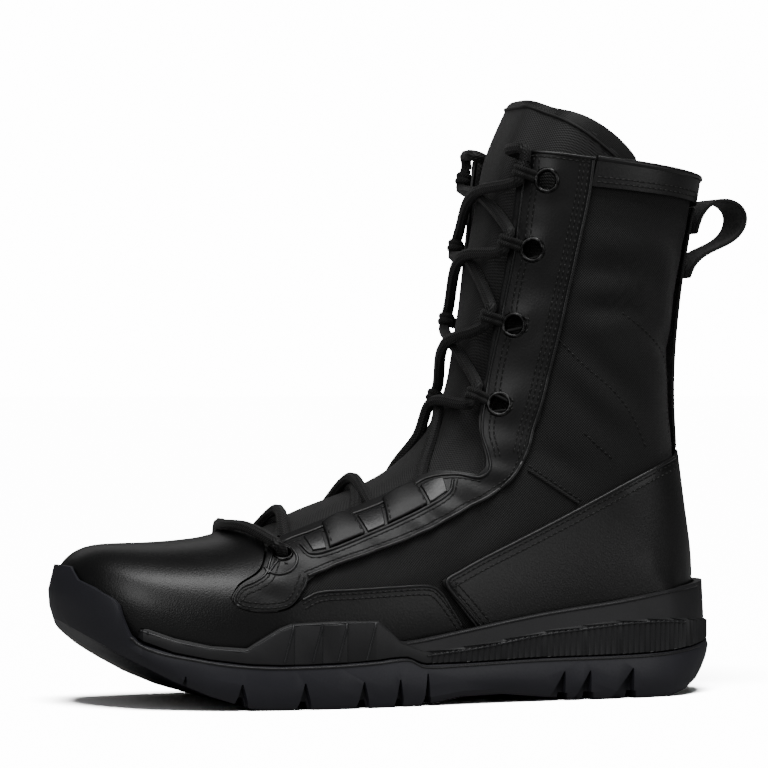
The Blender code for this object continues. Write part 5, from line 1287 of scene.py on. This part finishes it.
# %% Outsole, midsole and insole
OUTSOLE_RADIUS = 0.0005
MIDSOLE_RADIUS = 0.0004
MOULD_ANGLE = math.radians(38.0)
LIP_RADIUS = 0.7
LIP_DEPTH = 0.9
# The share of its radius by which a lip, or a flex ridge, is sunk
LIP_SUNK = 0.5
RIDGE_SUNK = 0.4
# Side view of each lip, in millimetres from the toe and up
OUTSOLE_LIP = [
    (24.6, 32.0), (27.2, 29.2), (33.5, 26.2), (41.6, 24.1), (49.6, 22.6), (60.4, 20.6), (71.9, 19.4),
    (83.5, 18.8), (108.9, 19.1), (128.0, 20.0), (138.7, 21.0), (144.5, 20.8), (151.3, 17.8),
    (170.9, 17.8), (206.9, 18.8), (243.0, 19.1), (268.2, 19.8), (292.0, 22.3),
]
MIDSOLE_LIPS = [
    [(27.0, 36.0), (30.8, 34.6), (43.0, 30.4), (55.1, 27.8), (63.3, 26.9), (70.3, 26.6), (73.2, 28.3),
     (77.9, 30.8), (85.0, 35.1), (89.9, 36.8), (101.6, 37.4), (112.5, 37.6), (125.8, 37.7), (129.1, 37.4)],
    [(142.5, 28.0), (154.0, 29.4), (177.6, 33.4), (209.0, 38.6), (243.6, 43.0), (273.6, 47.4),
     (292.0, 49.4)],
    [(152.2, 22.6), (178.2, 25.2), (208.8, 30.0), (227.5, 31.9), (250.3, 34.0), (270.3, 34.3),
     (281.5, 33.6)],
]
# Where each flex ridge starts, and how far it leans towards the toe at three heights
FLEX_RIDGES = (90.6, 103.2, 114.5, 127.6)
FLEX_LEAN = ((0.0, 36.4), (1.8, 29.5), (4.2, 20.6))


def mould(node, material, radius):
    """A copy of a solid whose sharp edges get a moulded radius."""
    piece = copy_solid(node, node + "_dressed", material)
    show_only(piece)
    edge = piece.modifiers.new("mould_radius", "BEVEL")
    edge.width = radius
    edge.segments = 2
    edge.limit_method = "ANGLE"
    edge.angle_limit = MOULD_ANGLE
    bpy.ops.object.modifier_apply(modifier=edge.name)
    smooth_shade(piece, 30.0)
    return settle(piece)


outsole = mould("outsole", rubber, OUTSOLE_RADIUS)
midsole = mould("midsole", foam, MIDSOLE_RADIUS)
outsole_skin, midsole_skin = (skin_of(piece) for piece in (outsole, midsole))
lip_lines = [(outsole_skin, OUTSOLE_LIP)] + [(midsole_skin, line) for line in MIDSOLE_LIPS]
lips = []
for side in SIDES.values():
    for skin, line in lip_lines:
        rows = [(x, z, 0.0) for x, z in line]
        lips.append(roll_along(skin, rows, side, -LIP_DEPTH, LIP_RADIUS, -LIP_SUNK * LIP_RADIUS))
    for x in FLEX_RIDGES:
        rows = [(x - lean, z, 0.0) for lean, z in FLEX_LEAN]
        lips.append(roll_along(midsole_skin, rows, side, 0.0, LIP_RADIUS, -RIDGE_SUNK * LIP_RADIUS))
join_swept("sole_lips", lips, lip_rubber)
insole = dress("insole", lining, 1)
lay_cloth(insole)
print("sole pieces", outsole.name, midsole.name, insole.name)
